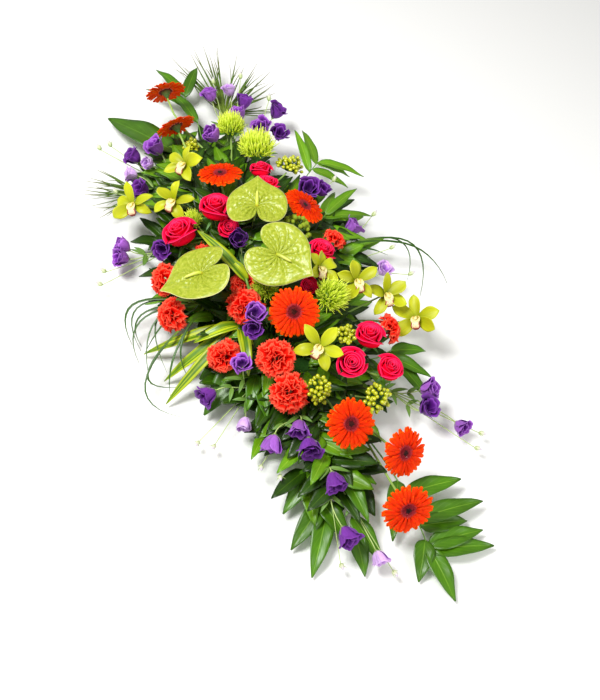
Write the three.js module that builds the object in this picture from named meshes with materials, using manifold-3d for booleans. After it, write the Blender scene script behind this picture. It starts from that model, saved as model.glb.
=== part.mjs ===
// Casket spray: cut flowers and foliage standing in wet floral foam, which is taped into a shallow tray.
// Millimetres, +Z up, +Y towards the head end. The origin is the middle of the tray's underside.

import * as THREE from "three";
import { mergeVertices } from "three/addons/utils/BufferGeometryUtils.js";
import Module from "manifold-3d";

const wasm = await Module();
wasm.setup();

// Holder
const TRAY_LENGTH = 500;
const TRAY_WIDTH = 128;
const TRAY_HEIGHT = 40;
const TRAY_WALL = 3;
const TRAY_CORNER = 14;
const FOAM_LENGTH = 484;
const FOAM_WIDTH = 110;
const FOAM_CORNER = 6;
const FOAM_TOP = 86;
const TAPE_WIDTH = 12;
const TAPE_THICKNESS = 0.8;
const TAPE_FOOT = 10;
const TAPE_AT = { tape_head: 110, tape_foot: -110 };

// Stems: clearance round each, how far it goes in and comes straight out, and the length that takes one more
// bend
const GAP = 0.3;
const HOLE_PLAY = 0.65;
const ROOT_DEPTH = 30;
const STRAIGHT_OUT = 12;
const LONG_STEM = 180;

// Where stems go in: rows along the top of the foam, and two rows round its sides, set off from each other
const ROWS_ACROSS = [-40, -20, 0, 20, 40];
const SEAT_PITCH = 22;
const SIDE_SEAT_HEIGHTS = [72, 54];
const END_ROW_SHIFT = 6;
const SIDE_SEAT_RISE = 0.2;

// How a stem picks its place: what it costs to turn right round, and how far it follows the foam's face
const COST_OF_BENDING = 120;
const SHARE_OF_FACING = 0.6;

// Nothing but the tray comes closer than this to the surface that the spray lies on
const LOWEST = 2;

// Colour and roughness of each kind of piece
const FINISH = {
  tray: ["#1f4a2c", 0.45],
  foam: ["#2f5f3c", 0.95],
  tape: ["#2c6b45", 0.5],
  anthurium: ["#b6cf3c", 0.3],
  gerbera: ["#f4560f", 0.6],
  rose: ["#d5124f", 0.6],
  carnation: ["#ee4a2c", 0.75],
  cymbidium: ["#c3cd2e", 0.45],
  chrysanthemum: ["#b2d432", 0.7],
  berries: ["#9db52c", 0.35],
  lisianthus: ["#5a2a9e", 0.6],
  broad_leaf: ["#24561f", 0.35],
  strap_leaf: ["#5f9a2b", 0.4],
  greenery: ["#3c7a24", 0.4],
  grass: ["#2c5a2e", 0.4],
};

const UP = new THREE.Vector3(0, 0, 1);
const radians = THREE.MathUtils.degToRad;
const at = (x, y, z) => new THREE.Vector3(x, y, z);
const along = (point, direction, distance) => point.clone().addScaledVector(direction, distance);
const middleOf = (points) => points.reduce((sum, p) => sum.add(p), at(0, 0, 0)).divideScalar(points.length);

// A direction that leans from upright by one angle, towards a bearing counted from +X to +Y
function leaning(lean, toward) {
  const flat = Math.sin(radians(lean));
  return at(flat * Math.cos(radians(toward)), flat * Math.sin(radians(toward)), Math.cos(radians(lean)));
}

// Shapes are lists of points and triangles, and a solid is one such shape

function solid({ points, faces }) {
  const vertProperties = new Float32Array(points.flatMap((p) => p.toArray()));
  const triVerts = new Uint32Array(faces.flat());
  return new wasm.Manifold(new wasm.Mesh({ numProp: 3, vertProperties, triVerts }));
}

// A solid from one of three's own geometries
function solidOf(geometry) {
  geometry.deleteAttribute("normal");
  geometry.deleteAttribute("uv");
  const { attributes, index } = mergeVertices(geometry, 1e-3);
  const vertProperties = attributes.position.array;
  const triVerts = new Uint32Array(index.array);
  return new wasm.Manifold(new wasm.Mesh({ numProp: 3, vertProperties, triVerts }));
}

const fuse = (solids) => solids.reduce((whole, one) => whole.add(one));

// A ring of points round +Z, whose radius and height may change from point to point
function ring(count, radius, height, turn = 0) {
  return Array.from({ length: count }, (_, i) => {
    const angle = ((i + turn) / count) * 2 * Math.PI;
    const [out, up] = [radius, height].map((value) => (typeof value === "function" ? value(i) : value));
    return at(out * Math.cos(angle), out * Math.sin(angle), up);
  });
}

// A closed shape through a row of rings. A ring of one point is a tip, and of two neighbouring rings
// one may have a whole number of times as many points as the other. raised names the bands of cells that
// stand out from a centre, as pointed petals or as round knobs.
function loft(rings, raised = { from: 0, to: 0 }) {
  const points = rings.flat();
  const faces = [];
  const starts = rings.map((_, k) => rings.slice(0, k).flat().length);
  const raise = (cell) => {
    const middle = middleOf(cell.map((k) => points[k]));
    const outward = middle.clone().sub(raised.centre).normalize();
    const addPoint = (point, share) => points.push(along(point, outward, raised.reach * share)) - 1;
    const tip = addPoint(middle, 1);
    const onShoulder = (k) => addPoint(points[k].clone().lerp(middle, 0.12), 0.6);
    const shoulder = raised.knobs ? cell.map(onShoulder) : cell;
    cell.forEach((corner, i) => {
      const next = (i + 1) % 4;
      faces.push([shoulder[i], shoulder[next], tip]);
      if (!raised.knobs) return;
      faces.push([corner, cell[next], shoulder[next]], [corner, shoulder[next], shoulder[i]]);
    });
  };
  for (let band = 0; band < rings.length - 1; band++) {
    const [fewer, more] = [rings[band].length, rings[band + 1].length];
    const most = Math.max(fewer, more);
    const low = (i) => starts[band] + (Math.floor((i * fewer) / most) % fewer);
    const high = (i) => starts[band + 1] + (Math.floor((i * more) / most) % more);
    for (let i = 0; i < most; i++) {
      if (band >= raised.from && band < raised.to) {
        raise([low(i), low(i + 1), high(i + 1), high(i)]);
        continue;
      }
      if (low(i) !== low(i + 1)) faces.push([low(i), low(i + 1), high(i + 1)]);
      if (high(i) !== high(i + 1)) faces.push([low(i), high(i + 1), high(i)]);
    }
  }
  const [bottom, top] = [starts[0], starts.at(-1)];
  for (let i = 1; i < rings[0].length - 1; i++) faces.push([bottom, bottom + i + 1, bottom + i]);
  for (let i = 1; i < rings.at(-1).length - 1; i++) faces.push([top, top + i, top + i + 1]);
  return { points, faces };
}

// Rings round a path, from its start to its end. The section is carried back along the path from its end,
// where its first corner lies towards side.
function stemRings(path, sides, startRadius, endRadius = startRadius, side = null) {
  const last = path.length - 1;
  const rings = [];
  let toward = side;
  for (let i = last; i >= 0; i--) {
    const ahead = path[Math.min(i + 1, last)].clone().sub(path[Math.max(i - 1, 0)]).normalize();
    toward ??= Math.abs(ahead.z) < 0.9 ? UP : at(1, 0, 0);
    toward = along(toward, ahead, -toward.dot(ahead)).normalize();
    const other = ahead.clone().cross(toward);
    const section = ring(sides, THREE.MathUtils.lerp(startRadius, endRadius, i / last), 0);
    rings.unshift(section.map((p) => along(along(path[i], toward, p.x), other, p.y)));
  }
  return rings;
}

const stem = (...how) => solid(loft(stemRings(...how)));

// A leaf or petal on a curve: a thin blade, ridged along its rib, that comes to a point.
// Its profile is a list of [share of the length, share of the width].
function blade(curve, width, profile, thickness = 2) {
  const rings = profile.map(([share, wide]) => {
    const point = curve.getPoint(share);
    const ahead = curve.getTangent(share);
    const side = UP.clone().cross(ahead).normalize();
    const above = ahead.clone().cross(side);
    const half = (width * wide) / 2;
    const rib = thickness * Math.min(1, 0.4 + 2 * share);
    return [along(point, side, half), along(point, above, rib), along(point, side, -half)];
  });
  return loft([...rings, [curve.getPoint(1)]]);
}

const BROAD = [[0, 0.05], [0.36, 1], [0.72, 0.62]];
const ROUNDER = [[0, 0.05], [0.46, 1], [0.8, 0.72]];
const STRAP = [[0, 0.45], [0.4, 1], [0.78, 0.7]];

// Holder

// A slab with rounded corners, lying flat
function slab(length, width, corner, height, from) {
  const [x, y] = [width / 2 - corner, length / 2 - corner];
  const outline = new THREE.Shape();
  outline.absarc(x, -y, corner, -Math.PI / 2, 0);
  outline.absarc(x, y, corner, 0, Math.PI / 2);
  outline.absarc(-x, y, corner, Math.PI / 2, Math.PI);
  outline.absarc(-x, -y, corner, Math.PI, 1.5 * Math.PI);
  const settings = { depth: height, bevelEnabled: false, curveSegments: 2 };
  return solidOf(new THREE.ExtrudeGeometry(outline, settings).translate(0, 0, from));
}

function trayBody() {
  const outer = slab(TRAY_LENGTH, TRAY_WIDTH, TRAY_CORNER, TRAY_HEIGHT, 0);
  const [length, width] = [TRAY_LENGTH - 2 * TRAY_WALL, TRAY_WIDTH - 2 * TRAY_WALL];
  return outer.subtract(slab(length, width, TRAY_CORNER - TRAY_WALL, TRAY_HEIGHT, TRAY_WALL));
}

const foamBottom = TRAY_WALL + GAP;
const foamBlock = slab(FOAM_LENGTH, FOAM_WIDTH, FOAM_CORNER, FOAM_TOP - foamBottom, foamBottom);

// A strip of tape over the foam, down to the rim of the tray and a little way down its outside
function tapeBody(y) {
  const halfOutline = (out) => [
    new THREE.Vector2(TRAY_WIDTH / 2 + GAP + out, TAPE_FOOT),
    new THREE.Vector2(TRAY_WIDTH / 2 + GAP + out, TRAY_HEIGHT + GAP + out),
    new THREE.Vector2(FOAM_WIDTH / 2 + GAP + out, FOAM_TOP + GAP + out),
  ];
  const mirrored = (points) => points.map(({ x, y: z }) => new THREE.Vector2(-x, z));
  const [outside, inside] = [halfOutline(TAPE_THICKNESS), halfOutline(0)];
  const outline = [...outside, ...mirrored(outside).reverse(), ...mirrored(inside), ...inside.reverse()];
  const shape = new THREE.Shape(outline);
  const band = new THREE.ExtrudeGeometry(shape, { depth: TAPE_WIDTH, bevelEnabled: false });
  return solidOf(band.rotateX(Math.PI / 2).translate(0, y + TAPE_WIDTH / 2, 0));
}

// What is in place so far, and room beside it

const placed = [];

function addNode(name, kind, body) {
  const largest = body.decompose().sort((a, b) => b.volume() - a.volume())[0];
  placed.push({ name, kind, body: largest, box: largest.boundingBox() });
}

const apart = (a, b) => [0, 1, 2].some((k) => a.min[k] > b.max[k] + GAP || b.min[k] > a.max[k] + GAP);

function isClear(body, others = placed) {
  const box = body.boundingBox();
  if (box.min[2] < LOWEST) return false;
  return others.every((other) => apart(box, other.box) || body.minGap(other.body, GAP) >= GAP);
}

// Places where a stem may enter the foam: five rows along its top, and two on each side and end
const seats = [];
for (let y = -FOAM_LENGTH / 2 + SEAT_PITCH; y <= FOAM_LENGTH / 2 - SEAT_PITCH; y += SEAT_PITCH) {
  if (Object.values(TAPE_AT).some((tape) => Math.abs(tape - y) < TAPE_WIDTH)) continue;
  for (const x of ROWS_ACROSS) seats.push({ place: at(x, y, FOAM_TOP), facing: UP });
  for (const side of [-1, 1]) {
    for (const [row, z] of SIDE_SEAT_HEIGHTS.entries()) {
      const place = at((side * FOAM_WIDTH) / 2, y + (row * SEAT_PITCH) / 2, z);
      seats.push({ place, facing: at(side, 0, SIDE_SEAT_RISE).normalize() });
    }
  }
}
for (const end of [-1, 1]) {
  for (const [row, z] of SIDE_SEAT_HEIGHTS.entries()) {
    for (const x of ROWS_ACROSS) {
      const place = at(x + row * END_ROW_SHIFT, (end * FOAM_LENGTH) / 2, z);
      seats.push({ place, facing: at(0, end, SIDE_SEAT_RISE).normalize() });
    }
  }
}

// The free seats as a stem towards a target would have them, those that need the least bending first
function seatsTowards(target) {
  return seats
    .filter((seat) => !seat.taken)
    .map((seat) => {
      const way = target.clone().sub(seat.place).normalize();
      const leaving = along(way, seat.facing, SHARE_OF_FACING).normalize();
      const inner = along(seat.place, leaving, -ROOT_DEPTH);
      const outer = along(seat.place, leaving, STRAIGHT_OUT);
      const effort = target.distanceTo(seat.place) + COST_OF_BENDING * (1 - way.dot(seat.facing));
      return { seat, leaving, inner, outer, effort };
    })
    .sort((a, b) => a.effort - b.effort);
}

const holes = [];
const foamAlone = [{ body: foamBlock, box: foamBlock.boundingBox() }];

// The hole for a root is the root's own prism, a little wider and deeper
function holeRound(rings, { leaving, inner, outer }) {
  const widened = (points, centre) => {
    const radius = points[0].distanceTo(centre);
    return points.map((p) => centre.clone().lerp(p, (radius + HOLE_PLAY) / radius));
  };
  const bottom = widened(rings[0], inner).map((p) => along(p, leaving, -GAP));
  return solid(loft([bottom, widened(rings[1], outer)]));
}

// Grows something from the first seat where it finds room. build gets the seat and gives back the rings of
// what stands in the foam and the solids, or null.
function growFromFoam(name, kind, target, build) {
  for (const seat of seatsTowards(target)) {
    const grown = build(seat);
    if (!grown) continue;
    seat.seat.taken = true;
    holes.push(holeRound(grown.rings, seat));
    addNode(name, kind, fuse(grown.solids));
    return;
  }
  throw new Error(`no room in the foam for ${name}`);
}

// A smooth bow from one place to another, that leaves along one direction and arrives along another
function bow(start, leaving, end, arriving, pull, steps) {
  const reach = start.distanceTo(end) * pull;
  const inner = [along(start, leaving, reach), along(end, arriving, -reach)];
  return new THREE.CubicBezierCurve3(start, ...inner, end).getPoints(steps);
}

const BOW_PULLS = [0.35, 0.2, 0.5, 0.05];

// The first of several bows whose stem is clear of what is in place, of the other blooms and of the foam.
// A root, where one is given, is the part of the path inside the foam.
function clearPath(others, root, from, to, steps, section) {
  for (const pull of BOW_PULLS) {
    const path = bow(from.place, from.way, to.place, to.way, pull, steps);
    if (!isClear(stem(path, ...section), foamAlone)) continue;
    const whole = root ? [root, ...path] : path;
    if (isClear(stem(whole, ...section), others)) return whole;
  }
  return null;
}

// Flower heads, each in its own frame: the stem comes up to the origin and the flower faces +Z.
// A head is a row of rings that goes on from the end of the stem.

// Rays in a flat star, with a raised disc in the middle
function gerbera(radius) {
  const reach = (i) => radius * (i % 2 ? 0.78 : 1);
  const star = (lift) => ring(28, reach, (i) => lift + (i % 2 ? 21 : 22.5));
  return { rings: [ring(8, 12, 13), star(0), star(1.6), ring(8, 15, 19), ring(8, 11, 25), [at(0, 0, 24)]] };
}

// Petals wrapped in two rounds, the inner one turned half a petal against the outer one
function rose(radius) {
  const height = 1.4 * radius;
  const round = (reach, rise, lobe, turn) =>
    ring(12, (i) => radius * (reach + lobe * (i % 2)), height * rise, turn);
  const outer = [round(0.8, 0.34, 0.06, 0), round(0.92, 0.76, 0.1, 0), round(0.66, 0.68, 0.04, 0)];
  return { rings: [...outer, round(0.42, 1.02, 0.1, 1), [at(0, 0, height * 0.86)]] };
}

// Ruffled petals in three rounds above a narrow calyx
function carnation(radius) {
  const round = (reach, rise, turn) =>
    ring(14, (i) => radius * (reach + 0.13 * (i % 2)), (i) => radius * (rise + 0.1 * (i % 2)), turn);
  const calyx = ring(4, 0.24 * radius, 0.45 * radius);
  const rounds = [round(0.86, 0.7, 0), round(0.58, 1.02, 1), round(0.28, 1.12, 0)];
  return { rings: [calyx, ...rounds, [at(0, 0, 1.2 * radius)]] };
}

// Five tepals cut from one dished plate, with a lip that hangs forward from the middle
function cymbidium(radius) {
  const reach = [0.28, 0.87, 1, 0.87];
  const rise = [7, 12, 15, 12];
  const plate = (lift) =>
    Array.from({ length: 20 }, (_, i) => {
      const angle = radians(18 * i - 18);
      const out = radius * reach[i % 4];
      return at(out * Math.cos(angle), out * Math.sin(angle), rise[i % 4] + lift);
    });
  const lip = stemRings([at(0, 0, 7), at(0, -8, 18), at(0, -17, 22)], 4, 6, 9, at(1, 0, 0));
  return { rings: [plate(0), plate(1.3), ...lip] };
}

// A heart-shaped spathe in a shallow dish with its spadix. The tip of both points along -Y. Its edge is drawn
// in to the stalk in a narrow notch, runs out round two lobes, and then straight to a sharp point.
function anthurium(radius) {
  const heart = (turn) => {
    const fromNotch = Math.min(turn, 1 - turn);
    const lobes = 0.78 * (1 - Math.exp(-fromNotch / 0.045)) - 0.64 * fromNotch ** 2;
    const point = Math.exp((fromNotch - 0.5) / 0.04);
    return 0.2 + lobes + 0.36 * point;
  };
  const outline = (count, share, height) =>
    ring(count, (i) => radius * share * heart((i / count + 0.75) % 1), height);
  const wave = (lift) => (i) => lift + 3 * Math.sin((6 * Math.PI * i) / 24);
  const under = [outline(12, 0.5, 2), outline(24, 1, wave(8))];
  const over = [outline(24, 1, wave(9.4)), outline(12, 0.5, 4)];
  const spadixPath = [at(0, 0, 3.5), at(0, -8, 11), at(0, -26, 17), at(0, -48, 21)];
  return { rings: [...under, ...over, ...stemRings(spadixPath, 6, 4.6, 2.8, at(1, 0, 0))] };
}

// A low dome of cells, of the given number of rows between two angles of rise, closed at the top
function dome(radius, around, rows, lowest, highest) {
  const row = (k) => {
    const rise = radians(THREE.MathUtils.lerp(lowest, highest, k / rows));
    return ring(around, radius * Math.cos(rise), radius * (0.55 + Math.sin(rise)), k / 2);
  };
  return [...Array.from({ length: rows + 1 }, (_, k) => row(k)), [at(0, 0, radius * 1.55)]];
}

// A dome whose every cell is drawn out to one pointed petal
function chrysanthemum(radius) {
  const rows = radius > 45 ? 4 : 3;
  const core = 0.72 * radius;
  const raised = { from: 0, to: rows, centre: at(0, 0, 0.4 * core), reach: 0.34 * radius };
  return { rings: dome(core, 12, rows, -16, 78), raised };
}

// A bunch of berries, raised as round knobs from a small core
function berries(radius) {
  const core = 0.62 * radius;
  return {
    rings: dome(core, 6, 2, -34, 62),
    raised: { from: 0, to: 2, centre: at(0, 0, 0.55 * core), reach: 0.36 * radius, knobs: true },
  };
}

const BUD_RADIUS = 4;
const BUD_LEAN = 55;

// An open bell with five soft lobes
function lisianthusBell(radius) {
  const rim = ring(10, (i) => radius * (i % 2 ? 1.1 : 0.92), (i) => radius * (i % 2 ? 2.05 : 1.75));
  return { rings: [ring(5, 0.8 * radius, radius), rim, [at(0, 0, 0.8 * radius)]] };
}

// A closed bud, drawn out to a point
function lisianthusBud(radius) {
  return { rings: [ring(3, radius, 1.6 * radius), [at(0, 0, 5 * radius)]] };
}

// How each kind is made: its head, its stem's sides and radius, and how high its face lies above the stem
const FLOWERS = {
  gerbera: { head: gerbera, sides: 4, stemRadius: 3.4, face: () => 22 },
  rose: { head: rose, sides: 4, stemRadius: 3.2, face: (radius) => 1.1 * radius },
  carnation: { head: carnation, sides: 4, stemRadius: 2.8, face: (radius) => radius },
  cymbidium: { head: cymbidium, sides: 4, stemRadius: 2.8, face: () => 8 },
  anthurium: { head: anthurium, sides: 4, stemRadius: 3, face: () => 5 },
  chrysanthemum: { head: chrysanthemum, sides: 4, stemRadius: 3.2, face: (radius) => 0.8 * radius },
  berries: { head: berries, sides: 3, stemRadius: 2.6, face: (radius) => 0.9 * radius },
  lisianthus: { head: lisianthusBell, sides: 3, stemRadius: 1.7, face: (radius) => 1.6 * radius },
  bud: { head: lisianthusBud, sides: 3, stemRadius: 1.4, face: () => 0 },
};

// One bloom: the middle of its face, its radius, how far and which way it leans, and its turn about its own
// axis. Its head can be grown on the rings of any stem that ends at its base.
function bloomOf(kind, [x, y, z, radius, lean, toward, spin = 0]) {
  const { head, sides, stemRadius, face } = FLOWERS[kind];
  const facing = leaning(lean, toward);
  const base = along(at(x, y, z), facing, -face(radius));
  const across = at(facing.z, 0, -facing.x).normalize().applyAxisAngle(facing, radians(spin));
  const upward = facing.clone().cross(across);
  const place = new THREE.Matrix4().makeBasis(across, upward, facing).setPosition(base);
  const inPlace = (points) => points.map((p) => p.clone().applyMatrix4(place));
  const { rings, raised } = head(radius);
  const headOn = (below) => {
    const shifted = raised && {
      ...raised,
      from: raised.from + below.length,
      to: raised.to + below.length,
      centre: raised.centre.clone().applyMatrix4(place),
    };
    const whole = [...below, ...rings.map(inPlace)];
    return { rings: whole, body: solid(loft(whole, shifted)) };
  };
  const section = [sides, stemRadius, stemRadius * 0.8, across];
  const { body } = headOn([inPlace(ring(sides, stemRadius * 0.8, 0))]);
  const grownOn = (path) => headOn(stemRings(path, ...section));
  return { base, facing, body, box: body.boundingBox(), section, grownOn };
}

// Blooms of one kind whose stems leave the foam together. The first one stands in the foam and carries the
// rest.
function addBunch(name, kind, bunch, others) {
  growFromFoam(name, kind, middleOf(bunch.map(({ base }) => base)), (seat) => {
    const grown = [];
    for (const { base, facing, section, grownOn } of bunch) {
      const root = grown.length ? null : seat.inner;
      const from = { place: seat.outer, way: seat.leaving };
      const steps = seat.outer.distanceTo(base) > LONG_STEM ? 3 : 2;
      const path = clearPath(others, root, from, { place: base, way: facing }, steps, section);
      if (!path) return null;
      grown.push(grownOn(path));
    }
    return { rings: grown[0].rings, solids: grown.map(({ body }) => body) };
  });
}

// Where the blooms are: x, y, z, radius, lean, bearing of the lean, turn about its own axis

const BLOOMS = {
  gerbera: {
    gerbera_head_tip: [[-5, 660, 130, 56, 70, 85]],
    gerbera_head: [[-30, 525, 140, 54, 70, 95]],
    gerbera_centre_head: [[-10, 290, 200, 57, 20, 90]],
    gerbera_right: [[156, 147, 182, 57, 25, -5]],
    gerbera_centre: [[-20, -150, 215, 60, 28, -128]],
    gerbera_foot: [[-5, -425, 165, 57, 36, -100]],
    gerbera_foot_right: [[85, -520, 140, 57, 45, -80]],
    gerbera_foot_tip: [[40, -630, 110, 60, 55, -105]],
  },
  anthurium: {
    anthurium_head: [[20, 145, 230, 76, 10, 170, 155]],
    anthurium_centre: [[0, -10, 240, 83, 22, -155, 30]],
    anthurium_left: [[-170, 20, 205, 86, 26, 140, -95]],
  },
  rose: {
    roses_head: [[100, 290, 190, 30, 28, 80], [90, 230, 200, 34, 16, 75]],
    roses_left: [
      [-60, 200, 205, 42, 10, 85],
      [-165, 175, 180, 44, 30, 140],
      [-45, 150, 170, 28, 30, -90],
    ],
    roses_right: [[140, 10, 185, 34, 12, 15], [60, -75, 180, 24, 20, -90]],
    roses_foot: [
      [140, -235, 175, 37, 10, 85],
      [55, -300, 190, 38, 20, -125],
      [155, -320, 150, 34, 10, -30],
    ],
  },
  carnation: {
    carnations_left: [
      [-240, 95, 120, 41, 55, 175],
      [-255, 5, 100, 40, 60, 185],
      [-130, 120, 150, 28, 30, 170],
    ],
    carnations_centre: [
      [-105, -80, 190, 43, 22, 220],
      [-190, -160, 130, 40, 45, 215],
      [-75, 5, 150, 30, 30, 190],
    ],
    carnations_foot: [[-95, -230, 190, 45, 22, 240], [-95, -310, 160, 44, 36, 245]],
    carnations_right: [[210, 60, 150, 30, 40, 20], [230, -215, 130, 37, 60, -10]],
  },
  cymbidium: {
    cymbidiums_left: [
      [-70, 365, 170, 50, 40, 190, -55],
      [-135, 270, 160, 50, 36, 200, -55],
      [-215, 330, 110, 50, 40, 200, -25],
    ],
    cymbidiums_right: [
      [100, -45, 190, 46, 30, -60, -15],
      [175, -100, 180, 50, 30, -110, -15],
      [245, -135, 140, 52, 36, -100, -10],
      [300, -205, 110, 60, 34, -176, -30],
    ],
    cymbidium_foot: [[0, -245, 200, 54, 30, -120, -60]],
  },
  chrysanthemum: {
    chrysanthemum_centre: [[95, -125, 195, 41, 20, -60]],
    chrysanthemums_head: [[135, 385, 160, 48, 30, 80], [105, 480, 150, 38, 28, 80]],
    chrysanthemums_left: [[-110, 215, 150, 25, 20, 170], [-35, -40, 170, 32, 20, -150]],
  },
  berries: {
    berries_right: [[108, 88, 195, 38, 24, 30], [95, -215, 165, 26, 20, -20]],
    berries_head: [[210, 325, 140, 38, 40, 40], [0, 490, 100, 23, 20, 90]],
    berries_foot: [[-30, -320, 160, 34, 24, -120], [95, -380, 140, 34, 34, -80]],
  },
};

// Lisianthus: a thin stem that forks into open bells, placed as above, and closed buds at x, y, z

const LISIANTHUS = {
  lisianthus_head: {
    bells: [
      [47, 475, 140, 20, 35, 155],
      [120, 655, 100, 18, 40, 105],
      [175, 645, 110, 16, 30, 95],
      [200, 595, 110, 19, 25, 55],
    ],
    buds: [[150, 690, 90], [215, 660, 120]],
  },
  lisianthus_head_right: {
    bells: [
      [155, 545, 120, 18, 28, 115],
      [285, 550, 90, 20, 30, 5],
      [190, 470, 130, 21, 18, -175],
      [240, 450, 110, 18, 16, -85],
    ],
    buds: [[255, 560, 120]],
  },
  lisianthus_head_left: {
    bells: [[-100, 495, 120, 21, 40, 140], [-160, 495, 100, 18, 55, 145], [-135, 450, 110, 14, 45, 178]],
    buds: [[-190, 560, 75], [-215, 570, 60]],
  },
  lisianthus_left_head: {
    bells: [[-185, 445, 90, 15, 75, 160], [-180, 380, 105, 18, 48, 165]],
    buds: [[-230, 400, 80]],
  },
  lisianthus_left: {
    bells: [[-275, 255, 70, 18, 55, 145], [-290, 225, 60, 18, 65, 170], [-205, 165, 130, 18, 55, -145]],
    buds: [[-330, 200, 50], [-350, 170, 45]],
  },
  lisianthus_centre: {
    bells: [[-50, 85, 205, 21, 28, -135], [-105, -130, 225, 19, 16, -85], [-120, -155, 205, 18, 60, -140]],
    buds: [],
  },
  lisianthus_right: {
    bells: [[220, 235, 130, 22, 15, -125], [260, 230, 120, 18, 24, -30]],
    buds: [[300, 250, 110]],
  },
  lisianthus_right_low: {
    bells: [[300, 115, 90, 20, 50, 10], [310, -35, 90, 16, 20, -20]],
    buds: [[365, 135, 80], [355, 20, 85], [370, -60, 70]],
  },
  lisianthus_foot_left: {
    bells: [
      [-160, -200, 150, 17, 14, -160],
      [-245, -210, 70, 19, 90, -165],
      [-190, -305, 60, 16, 98, -120],
    ],
    buds: [[-290, -290, 30], [-260, -310, 30]],
  },
  lisianthus_foot: {
    bells: [
      [-165, -385, 90, 20, 105, -128],
      [-100, -380, 110, 19, 92, -126],
      [-95, -430, 110, 21, 85, -110],
    ],
    buds: [[-165, -440, 60], [-190, -400, 50]],
  },
  lisianthus_foot_tip: {
    bells: [[-75, -520, 100, 21, 92, -98], [-90, -630, 70, 21, 82, -86], [-40, -690, 40, 16, 95, -90]],
    buds: [[-120, -660, 30], [-20, -715, 25]],
  },
  lisianthus_foot_right: {
    bells: [[250, -380, 90, 20, 48, -35], [220, -420, 90, 20, 25, -50], [295, -480, 40, 17, 70, -80]],
    buds: [[330, -500, 30], [300, -530, 30]],
  },
};

const FORK_AT = 0.6;
const FORK_DROPS = [10, 30, -10, 45];
const FORK_LOWEST = 18;
const FORK_STEM = [3, 2.6, 2];

function addLisianthus(name, bells, buds, others) {
  const middle = middleOf(bells.map(({ base }) => base));
  growFromFoam(name, "lisianthus", middle, (seat) => {
    const onward = middle.clone().sub(seat.outer).normalize();
    for (const drop of FORK_DROPS) {
      const fork = seat.outer.clone().lerp(middle, FORK_AT);
      fork.z = Math.max(FORK_LOWEST, fork.z - drop);
      const out = { place: seat.outer, way: seat.leaving };
      const main = clearPath(others, seat.inner, out, { place: fork, way: onward }, 2, FORK_STEM);
      if (!main) continue;
      const rings = stemRings(main, ...FORK_STEM);
      const solids = [solid(loft(rings))];
      for (const [k, { base, facing, section, grownOn }] of bells.entries()) {
        const joint = main.at(-2).clone().lerp(fork, 1 - (FORK_AT * k) / bells.length);
        const steps = joint.distanceTo(base) > LONG_STEM / 2 ? 2 : 1;
        const to = { place: base, way: facing };
        const path = clearPath(others, null, { place: joint, way: onward }, to, steps, section);
        if (path) solids.push(grownOn(path).body);
      }
      if (solids.length <= bells.length) continue;
      for (const { base, grownOn } of buds) {
        const { body } = grownOn([fork, base]);
        if (isClear(body, others)) solids.push(body);
      }
      return { rings, solids };
    }
    return null;
  });
}

// Foliage: a leaf that finds no room turns or lifts a little, and is left out if that isn't enough

const LEAF_TRIES = [
  { turn: 0, lift: 0 },
  { turn: 0, lift: 12 },
  { turn: 14, lift: 4 },
  { turn: -14, lift: 4 },
  { turn: 0, lift: 25 },
  { turn: 24, lift: 12 },
  { turn: -24, lift: 12 },
  { turn: 0, lift: 40 },
  { turn: 30, lift: 30 },
  { turn: -30, lift: 30 },
];
const LEAF_TIP_LOWEST = 6;

function clearLeaf(root, tip, width, profile, arch) {
  for (const { turn, lift } of LEAF_TRIES) {
    const way = tip.clone().sub(root).applyAxisAngle(UP, radians(turn));
    const end = root.clone().add(way);
    end.z = Math.max(end.z + lift, LEAF_TIP_LOWEST);
    const crest = root.clone().lerp(end, 0.45);
    crest.z += arch + lift / 2;
    const body = solid(blade(new THREE.QuadraticBezierCurve3(root, crest, end), width, profile));
    if (isClear(body) && isClear(body, foamAlone)) return body;
  }
  return null;
}

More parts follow.
